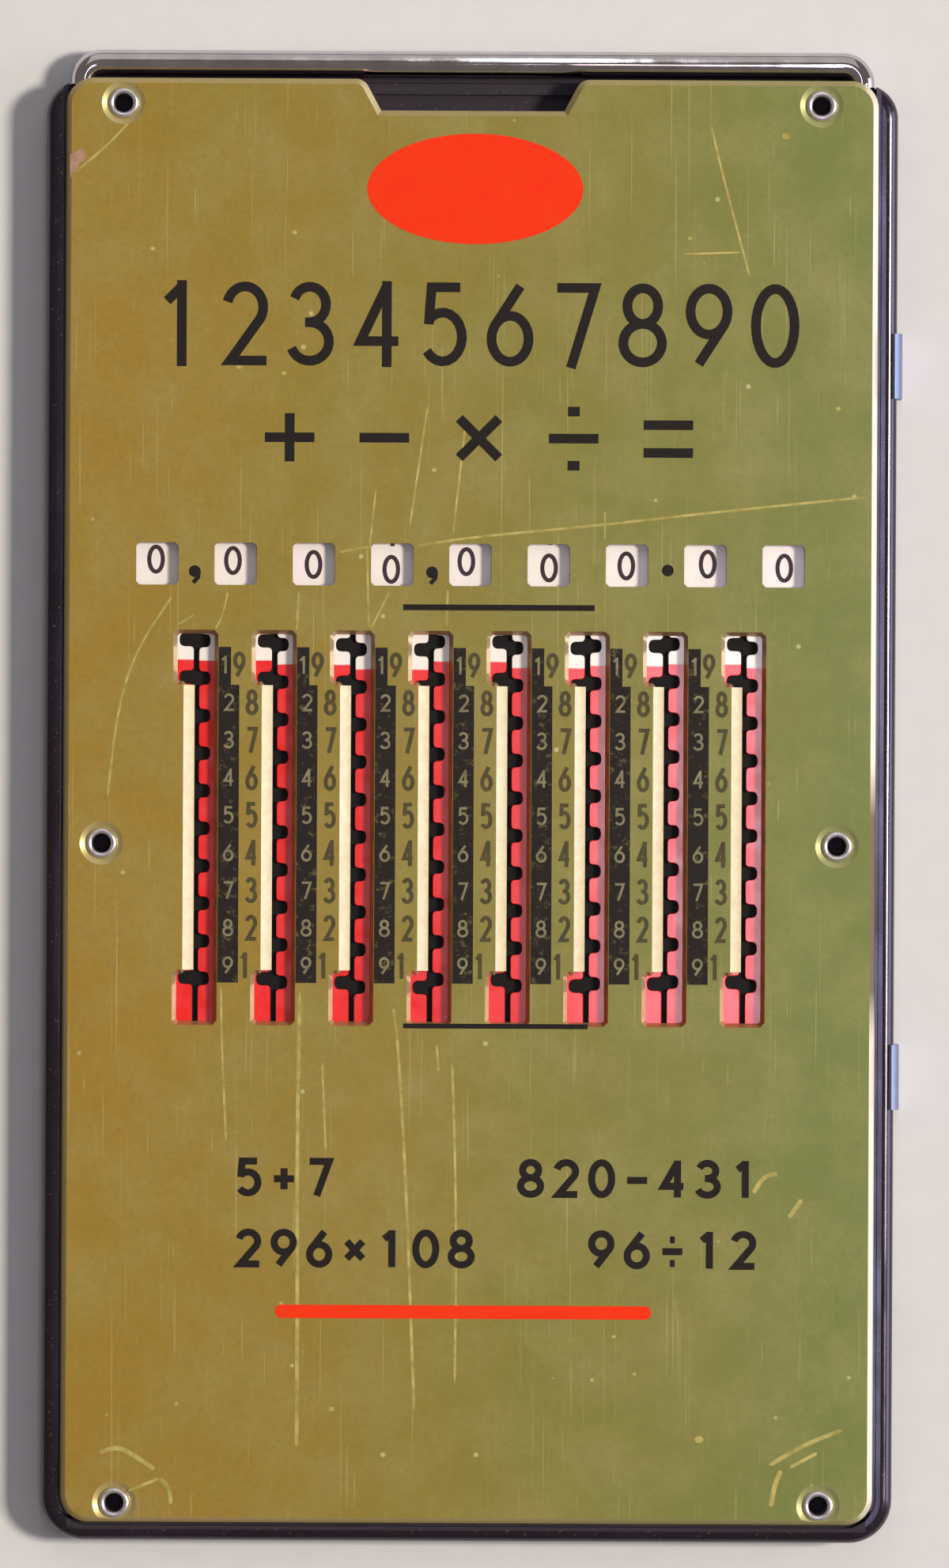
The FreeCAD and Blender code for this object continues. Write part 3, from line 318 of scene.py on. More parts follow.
# Each sign is drawn as open pen strokes in a box one wide and one high. Upright strokes run a little
# past the box, by about half a pen, and the two halves of a ring overlap.
STROKES = {
    "0": [arc(0.5, 0.5, 0.5, 0.5, 84, 276), arc(0.5, 0.5, 0.5, 0.5, 264, 456)],
    "1": [[(0.58, -0.08), (0.58, 1.08)], [(0.2, 0.8), (0.58, 1.0)]],
    "2": [arc(0.5, 0.72, 0.47, 0.28, 165, -32) + [(0.12, 0.0), (1.06, 0.0)]],
    "3": [arc(0.46, 0.76, 0.42, 0.24, 160, -90) + [(0.34, 0.52)],
          [(0.34, 0.52)] + arc(0.46, 0.26, 0.5, 0.26, 90, -160)],
    "4": [[(0.74, -0.08), (0.74, 1.08)], [(0.74, 1.02), (0.06, 0.27), (1.04, 0.27)]],
    "5": [[(0.92, 1.0), (0.18, 1.0), (0.11, 0.5)], arc(0.47, 0.33, 0.5, 0.33, 138, -145)],
    "6": [[(0.76, 1.02)] + arc(0.5, 0.31, 0.48, 0.31, 141.5, 336), arc(0.5, 0.31, 0.48, 0.31, 324, 516)],
    "7": [[(0.0, 1.0), (0.98, 1.0), (0.36, -0.08)]],
    "8": [arc(0.5, 0.76, 0.4, 0.24, -6, 186), arc(0.5, 0.76, 0.4, 0.24, 174, 366),
          arc(0.5, 0.26, 0.5, 0.26, -6, 186), arc(0.5, 0.26, 0.5, 0.26, 174, 366)],
    "9": [[(0.24, -0.02)] + arc(0.5, 0.69, 0.48, 0.31, -38.5, 156), arc(0.5, 0.69, 0.48, 0.31, 144, 336)],
    "+": [[(0.0, 0.45), (1.0, 0.45)], [(0.5, 0.12), (0.5, 0.78)]],
    "-": [[(0.0, 0.45), (1.0, 0.45)]],
    "×": [[(0.1, 0.18), (0.9, 0.72)], [(0.1, 0.72), (0.9, 0.18)]],
    "÷": [[(0.0, 0.45), (1.0, 0.45)], [(0.38, 0.82), (0.62, 0.82)], [(0.38, 0.08), (0.62, 0.08)]],
    "=": [[(0.0, 0.26), (1.0, 0.26)], [(0.0, 0.64), (1.0, 0.64)]],
}
INK_LAYER = 0.02


def pen_outline(stroke, pen):
    """The outline that a pen of some width leaves along an open stroke."""
    return shifted(stroke, -pen / 2) + shifted(stroke, pen / 2)[::-1]


def sign_outlines(sign, x, y, width, height, pen):
    """The outlines of one sign's strokes, centred on a place; the pen stays inside the sign's box."""
    across, up = width - pen, height - pen
    strokes = [[(x + (a - 0.5) * across, y + (b - 0.5) * up) for a, b in stroke] for stroke in STROKES[sign]]
    return [pen_outline(stroke, pen) for stroke in strokes]


# Screen ink: flat and black, a little thin in places so that it turns brown.
black_ink, shader, place = start_material("black_screen_ink", Roughness=0.55, IOR=1.35)
thin = add_node(black_ink, "TexNoise", {"Vector": place, "Scale": per_metre(0.5), "Detail": 4})
tone = add_node(black_ink, "Mix", {0: thin.outputs["Fac"], 6: linear("#0B0706"), 7: linear("#1E1711")},
                data_type="RGBA")
film = add_node(black_ink, "Bump", {"Height": thin.outputs["Fac"], "Strength": 0.1, "Distance": 0.01 * MM})
connect(black_ink, shader, Base_Color=tone.outputs[2], Normal=film.outputs["Normal"])

# Number ink on the slides: the same black, worn by the windows' edges to a violet grey.
number_ink, shader, place = start_material("worn_number_ink", Roughness=0.45, IOR=1.4)
wear = add_node(number_ink, "TexNoise", {"Vector": place, "Scale": per_metre(0.7), "Detail": 4})
tone = add_node(number_ink, "Mix", {0: wear.outputs["Fac"], 6: linear("#2A1C24"), 7: linear("#4A3640")},
                data_type="RGBA")
film = add_node(number_ink, "Bump", {"Height": wear.outputs["Fac"], "Strength": 0.1, "Distance": 0.01 * MM})
connect(number_ink, shader, Base_Color=tone.outputs[2], Normal=film.outputs["Normal"])

SLIDE_DIGIT_WIDTH, SLIDE_DIGIT_HEIGHT, SLIDE_PEN = 1.8, 2.95, 0.42
PRINT_DRIFTS = (-0.17, -0.3, -0.06, -0.1, -0.42, 0.04, -0.06, 0.26, 0.1)
for name, drift in zip(SLIDE_NAMES, PRINT_DRIFTS):
    low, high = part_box(name)
    middle = (low.x + high.x) / 2 / MM + drift
    zero = high.y / MM - TOP_TO_ZERO
    numbers = []
    for number in range(NUMBER_COUNT):
        numbers += sign_outlines(str(number % 10), middle, zero + number * TOOTH_PITCH,
                                 SLIDE_DIGIT_WIDTH, SLIDE_DIGIT_HEIGHT, SLIDE_PEN)
    levels = [(high.z / MM, 0), (high.z / MM + INK_LAYER, 0)]
    stand(f"{name}_numbers", numbers, levels, number_ink, name)


# ---- Front plate -----------------------------------------------------------------------------
# Thin brass sheet, blanked, pierced and edged, then lacquered olive-gold and screen printed. Years
# in a pocket have scratched the lacquer down the length, dulled it in clouds and bared the edges.
plate_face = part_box("front_plate")[1].z / MM

# The lacquer's ground runs from gold on the left to green on the right, in clouds and grime; the change
# from left to right is painted light, a reflection that shifts across the face.
lacquer, shader, place = start_material("olive_gold_lacquer_on_brass", IOR=1.5, Coat_Weight=0.3,
                                        Coat_Roughness=0.22)
whole = add_node(lacquer, "SeparateXYZ", {"Vector": add_node(lacquer, "TexCoord").outputs["Generated"]})
cloud = add_node(lacquer, "TexNoise", {"Vector": place, "Scale": per_metre(30), "Detail": 6,
                                       "Roughness": 0.6})
drift = add_node(lacquer, "Math", {0: cloud.outputs["Fac"], 1: 0.7, 2: -0.35}, operation="MULTIPLY_ADD")
across = add_node(lacquer, "Math", {0: whole.outputs["X"], 1: drift.outputs["Value"]}, operation="ADD",
                  use_clamp=True)
tone_and_painted_gradient = add_node(lacquer, "Mix", {0: across.outputs["Value"], 6: linear("#A68525"), 7: linear("#768332")},
                  data_type="RGBA")
mottle = add_node(lacquer, "TexNoise", {"Vector": place, "Scale": per_metre(7), "Detail": 8,
                                        "Roughness": 0.65})
aged = add_node(lacquer, "MapRange", {"Value": mottle.outputs["Fac"], 1: 0.42, 2: 0.72, 3: 0, 4: 0.45})
rubbed = add_node(lacquer, "Mix", {0: aged.outputs["Result"], 6: tone_and_painted_gradient.outputs[2], 7: linear("#A69E5C")},
                  data_type="RGBA")
grit = add_node(lacquer, "TexNoise", {"Vector": place, "Scale": per_metre(0.5), "Detail": 3})
grime = add_node(lacquer, "MapRange", {"Value": grit.outputs["Fac"], 1: 0.4, 2: 0.7, 3: 0, 4: 0.2})
stained = add_node(lacquer, "Mix", {0: grime.outputs["Result"], 6: rubbed.outputs[2], 7: linear("#6E6630")},
                   data_type="RGBA")

# Fine scratches in four families: angle in degrees, width and length in millimetres, and how much of
# the face they spare. They are drawn as coarse as they need to be to show.
FINE_SCRATCHES = ((2, 0.25, 40, 0.715), (-8, 0.18, 18, 0.73), (80, 0.2, 22, 0.74), (35, 0.16, 8, 0.745))
SCRATCH_SOFTNESS = 0.06
worn = stained.outputs[2]
scratch_depth = 0.0
for angle, width, length, share in FINE_SCRATCHES:
    turned = add_node(lacquer, "Mapping", {"Vector": place, "Rotation": (0, 0, math.radians(angle)),
                                           "Scale": (per_metre(width), per_metre(length), per_metre(length))})
    lines = add_node(lacquer, "TexNoise", {"Vector": turned.outputs["Vector"], "Scale": 1.0, "Detail": 1})
    cut = add_node(lacquer, "MapRange", {"Value": lines.outputs["Fac"],
                                         1: share, 2: share + SCRATCH_SOFTNESS, 3: 0, 4: 0.4})
    bared = add_node(lacquer, "Mix", {0: cut.outputs["Result"], 6: worn, 7: linear("#CFC78A")},
                     data_type="RGBA")
    deeper = add_node(lacquer, "Math", {0: scratch_depth, 1: cut.outputs["Result"]}, operation="MAXIMUM")
    worn, scratch_depth = bared.outputs[2], deeper.outputs["Value"]
chips = add_node(lacquer, "TexVoronoi", {"Vector": place, "Scale": per_metre(5.5), "Randomness": 1.0})
chip = add_node(lacquer, "MapRange", {"Value": chips.outputs["Distance"], 1: 0.055, 2: 0.03, 3: 0, 4: 0.75})
specked = add_node(lacquer, "Mix", {0: chip.outputs["Result"], 6: worn, 7: linear("#D2CD90")},
                   data_type="RGBA")

# Edges are worn to bare brass, and edges that face right, towards the light, are shown bare and pale:
# partly wear, partly a painted highlight. The rims at the left and at both ends keep most of their
# lacquer, but for what faces right.
normal = add_node(lacquer, "SeparateXYZ", {"Vector": add_node(lacquer, "NewGeometry").outputs["True Normal"]})
is_edge = add_node(lacquer, "MapRange", {"Value": normal.outputs["Z"], 1: 0.86, 2: 0.83})
left_rim = add_node(lacquer, "MapRange", {"Value": whole.outputs["X"], 1: 0.012, 2: 0.016, 3: 1, 4: 0})
past_middle = add_node(lacquer, "Math", {0: whole.outputs["Y"], 1: 0.5}, operation="SUBTRACT")
to_end = add_node(lacquer, "Math", {0: past_middle.outputs["Value"]}, operation="ABSOLUTE")
end_rim = add_node(lacquer, "MapRange", {"Value": to_end.outputs["Value"], 1: 0.47, 2: 0.474})
is_rim = add_node(lacquer, "Math", {0: left_rim.outputs["Result"], 1: end_rim.outputs["Result"]},
                  operation="MAXIMUM")
not_facing_light = add_node(lacquer, "MapRange", {"Value": normal.outputs["X"], 1: 0.45, 2: 0.2, 3: 0, 4: 0.8})
kept = add_node(lacquer, "Math", {0: is_rim.outputs["Value"], 1: not_facing_light.outputs["Result"]},
                operation="MULTIPLY")
is_bare_or_lit = add_node(lacquer, "Math", {0: is_edge.outputs["Result"], 1: kept.outputs["Value"]},
                   operation="SUBTRACT", use_clamp=True)

# Bare brass is cream where it is rubbed, lit up as a painted highlight on edges that face the light.
# The right rim is paler still, a painted highlight, and darker in a band a little below the middle.
handled = add_node(lacquer, "TexNoise", {"Vector": place, "Scale": per_metre(1.1), "Detail": 4,
                                         "Roughness": 0.7})
bare_and_lit_lip = add_node(lacquer, "Mix", {0: handled.outputs["Fac"], 6: linear("#D4CA9C"), 7: linear("#A4946C")},
               data_type="RGBA")
DARK_BAND_MIDDLE = 0.43
off_dark_band = add_node(lacquer, "Math", {0: whole.outputs["Y"], 1: DARK_BAND_MIDDLE}, operation="SUBTRACT")
from_dark_band = add_node(lacquer, "Math", {0: off_dark_band.outputs["Value"]}, operation="ABSOLUTE")
in_dark_band = add_node(lacquer, "MapRange", {"Value": from_dark_band.outputs["Value"], 1: 0.1, 2: 0.06})
painted_right_rim = add_node(lacquer, "Mix", {0: in_dark_band.outputs["Result"],
                                        6: linear("#DCD6BC"), 7: linear("#5E562E")}, data_type="RGBA")
on_right_rim = add_node(lacquer, "MapRange", {"Value": whole.outputs["X"], 1: 0.982, 2: 0.986})
lit_lip_and_rim = add_node(lacquer, "Mix", {0: on_right_rim.outputs["Result"],
                                     6: bare_and_lit_lip.outputs[2], 7: painted_right_rim.outputs[2]}, data_type="RGBA")

# Edges of slots and windows that face away from the light are painted in shade: red-brown in the slots,
# a painted reflection of the red slides, and orange-brown in the windows. The cut walls and the steep
# foot of each lip are a darker brown, bare cut brass with painted shade. The eyelets' seats are
# pressed, and a little paler as a painted highlight.
is_slot = add_node(lacquer, "MapRange", {"Value": normal.outputs["Z"], 1: 0.76, 2: 0.79})
painted_shade_and_reflection = add_node(lacquer, "Mix", {0: is_slot.outputs["Result"], 6: linear("#B4703C"), 7: linear("#8E3C22")},
                  data_type="RGBA")
faces_from_light = add_node(lacquer, "MapRange", {"Value": normal.outputs["X"], 1: 0.3, 2: -0.1})
lit_or_shaded_edge = add_node(lacquer, "Mix", {0: faces_from_light.outputs["Result"],
                                    6: lit_lip_and_rim.outputs[2], 7: painted_shade_and_reflection.outputs[2]}, data_type="RGBA")
is_wall = add_node(lacquer, "MapRange", {"Value": normal.outputs["Z"], 1: 0.5, 2: 0.2})
edges_lit_and_shaded = add_node(lacquer, "Mix", {0: is_wall.outputs["Result"], 6: lit_or_shaded_edge.outputs[2], 7: linear("#A08058")},
                data_type="RGBA")
is_seat = add_node(lacquer, "MapRange", {"Value": normal.outputs["Z"], 1: 0.97, 2: 0.93, 3: 0, 4: 0.35})
face_with_seat_highlight = add_node(lacquer, "Mix", {0: is_seat.outputs["Result"],
                                    6: specked.outputs[2], 7: linear("#D0CCA0")}, data_type="RGBA")
edged = add_node(lacquer, "Mix", {0: is_bare_or_lit.outputs["Value"], 6: face_with_seat_highlight.outputs[2], 7: edges_lit_and_shaded.outputs[2]},
                 data_type="RGBA")
metal = add_node(lacquer, "MapRange", {"Value": is_bare_or_lit.outputs["Value"], 3: 0.35, 4: 0.3})
dull = add_node(lacquer, "MapRange", {"Value": cloud.outputs["Fac"], 1: 0.3, 2: 0.7, 3: 0.32, 4: 0.46})
grooves = add_node(lacquer, "Bump", {"Height": scratch_depth, "Strength": 0.25, "Distance": 0.01 * MM},
                   invert=True)
peel = add_node(lacquer, "Bump", {"Height": grit.outputs["Fac"], "Strength": 0.12, "Distance": 0.01 * MM,
                                  "Normal": grooves.outputs["Normal"]})
connect(lacquer, shader, Base_Color=edged.outputs[2], Metallic=metal.outputs["Result"],
        Roughness=dull.outputs["Result"], Normal=peel.outputs["Normal"])
dress(lacquer, "front_plate")


def print_plate(name, outlines, layer, material):
    """Print closed outlines on the plate's face, as thick as so many layers of ink."""
    levels = [(plate_face, 0), (plate_face + layer * INK_LAYER, 0)]
    return stand(name, outlines, levels, material, "case")


def box_outline(left, right, low, high):
    return [(left, low), (right, low), (right, high), (left, high)]


# Columns of digits beside each slot but the last: a black strip with the digits left bare in it for
# taking away, and brown digits on the lacquer for adding.
column_places = [sum(corner.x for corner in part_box(name)) / 2 / MM for name in SLIDE_NAMES]
SLOT_RIGHT_OF_GAP = 2.25
slot_rights = [(a + b) / 2 + SLOT_RIGHT_OF_GAP for a, b in zip(column_places, column_places[1:])]
FIRST_ROW = 13.75
STRIP_WIDTH, STRIP_TOP_WIDTH = 2.1, 1.25
STRIP_TOP, STRIP_STEP, STRIP_BOTTOM = 15.55, 11.7, -18.5
STRIP_OFF_SLOT = 0.05
BARE_DIGIT_WIDTH, BARE_DIGIT_HEIGHT, BARE_PEN = 1.12, 1.78, 0.24
BARE_DIGIT_IN, TOP_BARE_DIGIT_IN = 1.05, 0.62
BROWN_DIGIT_WIDTH, BROWN_DIGIT_HEIGHT, BROWN_PEN = 1.3, 2.65, 0.4
BROWN_DIGIT_OUT, TOP_BROWN_DIGIT_OUT, END_BROWN_DIGIT_OUT = 3.4, 2.1, 2.75
rows = [FIRST_ROW - TOOTH_PITCH * step for step in range(9)]
strips, bare_digits, brown_digits = [], [], []
for slot_right in slot_rights[:-1]:
    near = slot_right + STRIP_OFF_SLOT
    far, far_at_top = near + STRIP_WIDTH, near + STRIP_TOP_WIDTH
    strips.append([(near, STRIP_BOTTOM), (far, STRIP_BOTTOM), (far, STRIP_STEP), (far_at_top, STRIP_STEP),
                   (far_at_top, STRIP_TOP), (near, STRIP_TOP)])
    for digit, row in enumerate(rows, start=1):
        bare_place = near + (TOP_BARE_DIGIT_IN if digit == 1 else BARE_DIGIT_IN)
        bare_digits += sign_outlines(str(digit), bare_place, row,
                                     BARE_DIGIT_WIDTH, BARE_DIGIT_HEIGHT, BARE_PEN)
        brown_place = near + {1: TOP_BROWN_DIGIT_OUT, 9: END_BROWN_DIGIT_OUT}.get(digit, BROWN_DIGIT_OUT)
        brown_digits += sign_outlines(str(10 - digit), brown_place, row,
                                      BROWN_DIGIT_WIDTH, BROWN_DIGIT_HEIGHT, BROWN_PEN)

# Screen ink that the stylus has rubbed: black, with the gold ground showing through in grains.
rubbed_ink, shader, place = start_material("rubbed_black_ink", Roughness=0.55, IOR=1.35)
grain = add_node(rubbed_ink, "TexNoise", {"Vector": place, "Scale": per_metre(0.8), "Detail": 6,
                                          "Roughness": 0.75})
bald = add_node(rubbed_ink, "MapRange", {"Value": grain.outputs["Fac"], 1: 0.56, 2: 0.7, 3: 0, 4: 0.6})
tone = add_node(rubbed_ink, "Mix", {0: bald.outputs["Result"], 6: linear("#1C1612"), 7: linear("#8C8250")},
                data_type="RGBA")
film = add_node(rubbed_ink, "Bump", {"Height": grain.outputs["Fac"], "Strength": 0.15, "Distance": 0.01 * MM})
connect(rubbed_ink, shader, Base_Color=tone.outputs[2], Normal=film.outputs["Normal"])
print_plate("subtracting_strips", strips, 1, rubbed_ink)

# Bare lacquer, left open in the black strips and greyed by ink that has crept in.
bare_gold, shader, place = start_material("bare_greyed_lacquer", Metallic=0.3, Roughness=0.45)
creep = add_node(bare_gold, "TexNoise", {"Vector": place, "Scale": per_metre(1.1), "Detail": 5})
tone = add_node(bare_gold, "Mix", {0: creep.outputs["Fac"], 6: linear("#57523A"), 7: linear("#A39D78")},
                data_type="RGBA")
film = add_node(bare_gold, "Bump", {"Height": creep.outputs["Fac"], "Strength": 0.15, "Distance": 0.01 * MM})
connect(bare_gold, shader, Base_Color=tone.outputs[2], Normal=film.outputs["Normal"])
print_plate("subtracting_digits", bare_digits, 1.5, bare_gold)

# The same black ink, printed thin, dries to a dark olive-brown.
brown_ink, shader, place = start_material("thin_brown_ink", Roughness=0.5, IOR=1.5)
thin = add_node(brown_ink, "TexNoise", {"Vector": place, "Scale": per_metre(0.8), "Detail": 4})
tone = add_node(brown_ink, "Mix", {0: thin.outputs["Fac"], 6: linear("#2E280E"), 7: linear("#5A5024")},
                data_type="RGBA")
film = add_node(brown_ink, "Bump", {"Height": thin.outputs["Fac"], "Strength": 0.1, "Distance": 0.01 * MM})
connect(brown_ink, shader, Base_Color=tone.outputs[2], Normal=film.outputs["Normal"])
print_plate("adding_digits", brown_digits, 1, brown_ink)

# Rules above and below the slots, and the commas and the point between the windows.
RULES = ((-6.8, 12.6, 19.35, 19.95), (-6.6, 12.1, -23.05, -22.55))
COMMA_ROW, POINT_ROW, DOT_RADIUS, TAIL_PEN = 23.2, 23.5, 0.6, 0.42
COMMA_PLACES, POINT_PLACE = (-27.95, -3.9), 20.0
rules_and_marks = [box_outline(*rule) for rule in RULES]
for comma in COMMA_PLACES:
    tail = [(comma + 0.4, COMMA_ROW), (comma + 0.34, COMMA_ROW - 0.6), (comma - 0.15, COMMA_ROW - 1.15)]
    rules_and_marks.append(arc(comma, COMMA_ROW, DOT_RADIUS, DOT_RADIUS, 0, 350, 28))
    rules_and_marks.append(pen_outline(tail, TAIL_PEN))
rules_and_marks.append(arc(POINT_PLACE, POINT_ROW, DOT_RADIUS, DOT_RADIUS, 0, 350, 28))
print_plate("rules_and_marks", rules_and_marks, 1, black_ink)


def line_outlines(line, first, row, step, width, height, pen):
    """The outlines of a line of signs, from its first sign's place on."""
    outlines = []
    for index, sign in enumerate(line):
        outlines += sign_outlines(sign, first + index * step, row, width, height, pen)
    return outlines


# The heading is a row of plain numbers with the five signs below it, and the four labels under the
# slots are plain sums, one for each kind.
heading = line_outlines("1234567890", first=-29.7, row=48.35, step=6.72, width=4.9, height=8.5, pen=0.98)
heading += line_outlines("+-×÷=", first=-18.4, row=37.2, step=9.6, width=6.0, height=8.4, pen=0.98)
print_plate("heading_numbers", heading, 1, black_ink)
UPPER_SUMS, LOWER_SUMS = -38.2, -45.4
sums = []
for line, first, row in (("5+7", -22.2, UPPER_SUMS), ("820-431", 6.4, UPPER_SUMS),
                         ("296×108", -22.2, LOWER_SUMS), ("96÷12", 13.6, LOWER_SUMS)):
    sums += line_outlines(line, first, row, step=3.6, width=2.75, height=3.95, pen=0.72)
print_plate("plain_sums", sums, 1, black_ink)

# Vermilion ink: opaque and warm, a little uneven in tone where it has rubbed.
vermilion, shader, place = start_material("vermilion_ink", Roughness=0.6, IOR=1.3)
rub = add_node(vermilion, "TexNoise", {"Vector": place, "Scale": per_metre(2.2), "Detail": 6})
tone = add_node(vermilion, "Mix", {0: rub.outputs["Fac"], 6: linear("#F72800"), 7: linear("#F03C00")},
                data_type="RGBA")
film = add_node(vermilion, "Bump", {"Height": rub.outputs["Fac"], "Strength": 0.1, "Distance": 0.01 * MM})
connect(vermilion, shader, Base_Color=tone.outputs[2], Normal=film.outputs["Normal"])
BAR_LEFT, BAR_RIGHT, BAR_ROW, BAR_HALF = -18.8, 18.0, -51.8, 0.68
bar = arc(BAR_RIGHT, BAR_ROW, BAR_HALF, BAR_HALF, -90, 90)
bar += arc(BAR_LEFT, BAR_ROW, BAR_HALF, BAR_HALF, 90, 270)
OVAL_PLACE, OVAL_ACROSS, OVAL_UP = (0.3, 62.1), 10.95, 5.6
print_plate("red_print", [arc(*OVAL_PLACE, OVAL_ACROSS, OVAL_UP, 0, 357, 120), bar], 1, vermilion)

# Scratches that go through the lacquer, each given as the width of what drew it and its path. Wear
# has made them half as wide again. A few are rub marks by the eyelets. Specks have place and radius.
SCRATCH_SPREAD = 1.5
SCRATCHES = (
    (0.16, ((-30.2, 20.7), (-33.8, 15.3), (-35.7, 9.4), (-36.7, 0.3))),
    (0.12, ((-28.0, 18.8), (-29.6, 17.8))),
    (0.12, ((-24.6, 21.1), (-25.1, 18.7), (-25.8, 17.4))),
    (0.13, ((-17.4, 21.2), (-17.6, 17.2))),
    (0.13, ((-10.5, 25.8), (-10.3, 17.6))),
    (0.13, ((-8.2, 21.2), (-10.1, 17.4))),
    (0.15, ((-2.3, 21.5), (-2.4, 17.6))),
    (0.12, ((-9.6, 31.9), (-10.3, 25.2))),
    (0.14, ((-4.4, 40.2), (-6.2, 27.7))),
    (0.14, ((-0.6, 38.0), (-1.8, 27.0))),
    (0.17, ((-13.3, 25.2), (-10.2, 25.8))),
    (0.17, ((-5.4, 25.9), (0.2, 26.8), (13.5, 28.1), (25.3, 29.5), (40.6, 31.1))),
    (0.12, ((13.6, 29.5), (13.6, 26.6))),
    (0.14, ((24.2, 68.6), (25.3, 63.9), (28.2, 53.2))),
    (0.12, ((21.4, 55.6), (27.3, 55.8))),
    (0.15, ((-25.1, -18.9), (-25.0, -24.6), (-24.5, -34.8))),
    (0.25, ((-17.1, -19.3), (-17.3, -36.2), (-17.2, -48.4), (-17.2, -60.6), (-17.2, -65.6))),
    (0.14, ((-14.8, -26.4), (-14.4, -35.5))),
    (0.2, ((-7.6, -21.0), (-7.1, -24.7), (-6.2, -39.6), (-5.3, -61.9))),
    (0.17, ((-1.6, -26.4), (-1.1, -42.3), (-1.2, -59.2))),
    (0.15, ((-3.2, -24.7), (-3.0, -27.4))),
    (0.3, ((-37.2, -66.2), (-35.4, -65.6), (-33.6, -66.5), (-31.6, -67.9))),
    (0.26, ((-31.0, -68.8), (-30.1, -69.8), (-29.9, -71.4))),
    (0.2, ((-34.3, -70.1), (-31.1, -68.8))),
    (0.28, ((30.7, -67.2), (34.4, -65.0), (38.1, -63.6))),
    (0.22, ((32.8, -67.4), (35.6, -65.9))),
    (0.32, ((30.9, -71.4), (31.3, -69.1), (31.9, -67.7))),
    (0.3, ((29.0, -39.6), (30.0, -37.9), (31.4, -37.6))),
    (0.3, ((32.6, -42.1), (33.9, -40.2))),
    (0.16, ((-34.9, 68.6), (-37.3, 66.1), (-40.3, 63.6))),
)
SPECKS = ((23.6, -64.6, 0.45), (12.7, -58.6, 0.22), (17.0, -58.0, 0.2), (14.9, -54.2, 0.2),
          (-36.5, -62.4, 0.2), (-13.7, -61.7, 0.3), (-17.7, -57.3, 0.22), (-23.5, 44.0, 0.35),
          (-19.0, 43.3, 0.25), (-18.0, 57.6, 0.25), (-32.4, 55.9, 0.25), (22.1, 57.2, 0.25),
          (31.8, 67.6, 0.4), (37.2, 40.0, 0.25), (-29.4, -61.2, 0.2))


def scratch_outline(line, pen):
    """A scratch along a line, its corners cut to a curve and its two ends drawn out to points."""
    line = [Vector(point) for point in line]
    for _ in range(2):
        pairs = list(zip(line, line[1:]))
        line = [line[0]] + [a.lerp(b, share) for a, b in pairs for share in (0.25, 0.75)] + [line[-1]]
    inner = line[1:-1]
    return [tuple(line[0])] + shifted(inner, -pen / 2) + [tuple(line[-1])] + shifted(inner, pen / 2)[::-1]


# Scratched lacquer: a pale, broken yellow line, where thin lacquer or brass lies bare.
worn_line, shader, place = start_material("scratched_lacquer", Metallic=0.35, Roughness=0.5)
break_up = add_node(worn_line, "TexNoise", {"Vector": place, "Scale": per_metre(1.4), "Detail": 5})
depth = add_node(worn_line, "MapRange", {"Value": break_up.outputs["Fac"], 1: 0.35, 2: 0.65})
tone = add_node(worn_line, "Mix", {0: depth.outputs["Result"], 6: linear("#A2954A"), 7: linear("#C8BC70")},
                data_type="RGBA")
rough = add_node(worn_line, "Bump", {"Height": break_up.outputs["Fac"], "Strength": 0.2,
                                     "Distance": 0.01 * MM})
connect(worn_line, shader, Base_Color=tone.outputs[2], Normal=rough.outputs["Normal"])
SPECK_FLATNESS, DAMAGE_LAYER = 0.8, 0.3
scratches = [scratch_outline(line, pen * SCRATCH_SPREAD) for pen, line in SCRATCHES]
scratches += [arc(x, y, radius, radius * SPECK_FLATNESS, 0, 330, 11) for x, y, radius in SPECKS]
print_plate("scratches", scratches, DAMAGE_LAYER, worn_line)

# Where a knock has chipped the lacquer off near the left edge, the metal is dull and pinkish.
CHIP = ((-40.8, 65.4), (-40.2, 65.7), (-39.75, 66.0), (-39.25, 65.8), (-39.2, 65.2), (-39.5, 64.7),
        (-39.9, 64.5), (-40.1, 63.9), (-40.6, 63.5), (-40.8, 62.9))
knocked, shader, place = start_material("chipped_and_dulled_brass", Metallic=0.3, Roughness=0.55)
oxide = add_node(knocked, "TexNoise", {"Vector": place, "Scale": per_metre(0.9), "Detail": 5})
tone = add_node(knocked, "Mix", {0: oxide.outputs["Fac"], 6: linear("#84624E"), 7: linear("#C8A48A")},
                data_type="RGBA")
rough = add_node(knocked, "Bump", {"Height": oxide.outputs["Fac"], "Strength": 0.4, "Distance": 0.03 * MM})
connect(knocked, shader, Base_Color=tone.outputs[2], Normal=rough.outputs["Normal"])
print_plate("chipped_edge", [CHIP[::-1]], DAMAGE_LAYER, knocked)


# ---- Eyelets ---------------------------------------------------------------------------------
# Six thin brass tubes, plated with nickel, pressed into the case's pillars and rolled over at the
# top. They clamp the plate by its dished seats.
EYELET_BORE, EYELET_BARREL, EYELET_HEAD = 0.95, 1.1, 1.55
EYELET_ROLL, BARREL_END_DOWN, BORE_MOUTH_DOWN = 0.3, 0.45, 0.6
EYELET_PLACES = [(35.4, 70.7), (37.3, -4.4), (35.7, -71.3)]
TURNED_STEPS = 48


def turned_rings(profile, x, y, base=0):
    """Corners and faces of a profile of (radius, height), turned about an upright line."""
    corners = [(x + radius * math.cos(2 * math.pi * step / TURNED_STEPS),
                y + radius * math.sin(2 * math.pi * step / TURNED_STEPS), height)
               for radius, height in profile for step in range(TURNED_STEPS)]
    faces = []
    for level in range(len(profile)):
        low, high = base + level * TURNED_STEPS, base + (level + 1) % len(profile) * TURNED_STEPS
        for step in range(TURNED_STEPS):
            after = (step + 1) % TURNED_STEPS
            faces.append((low + step, low + after, high + after, high + step))
    return corners, faces


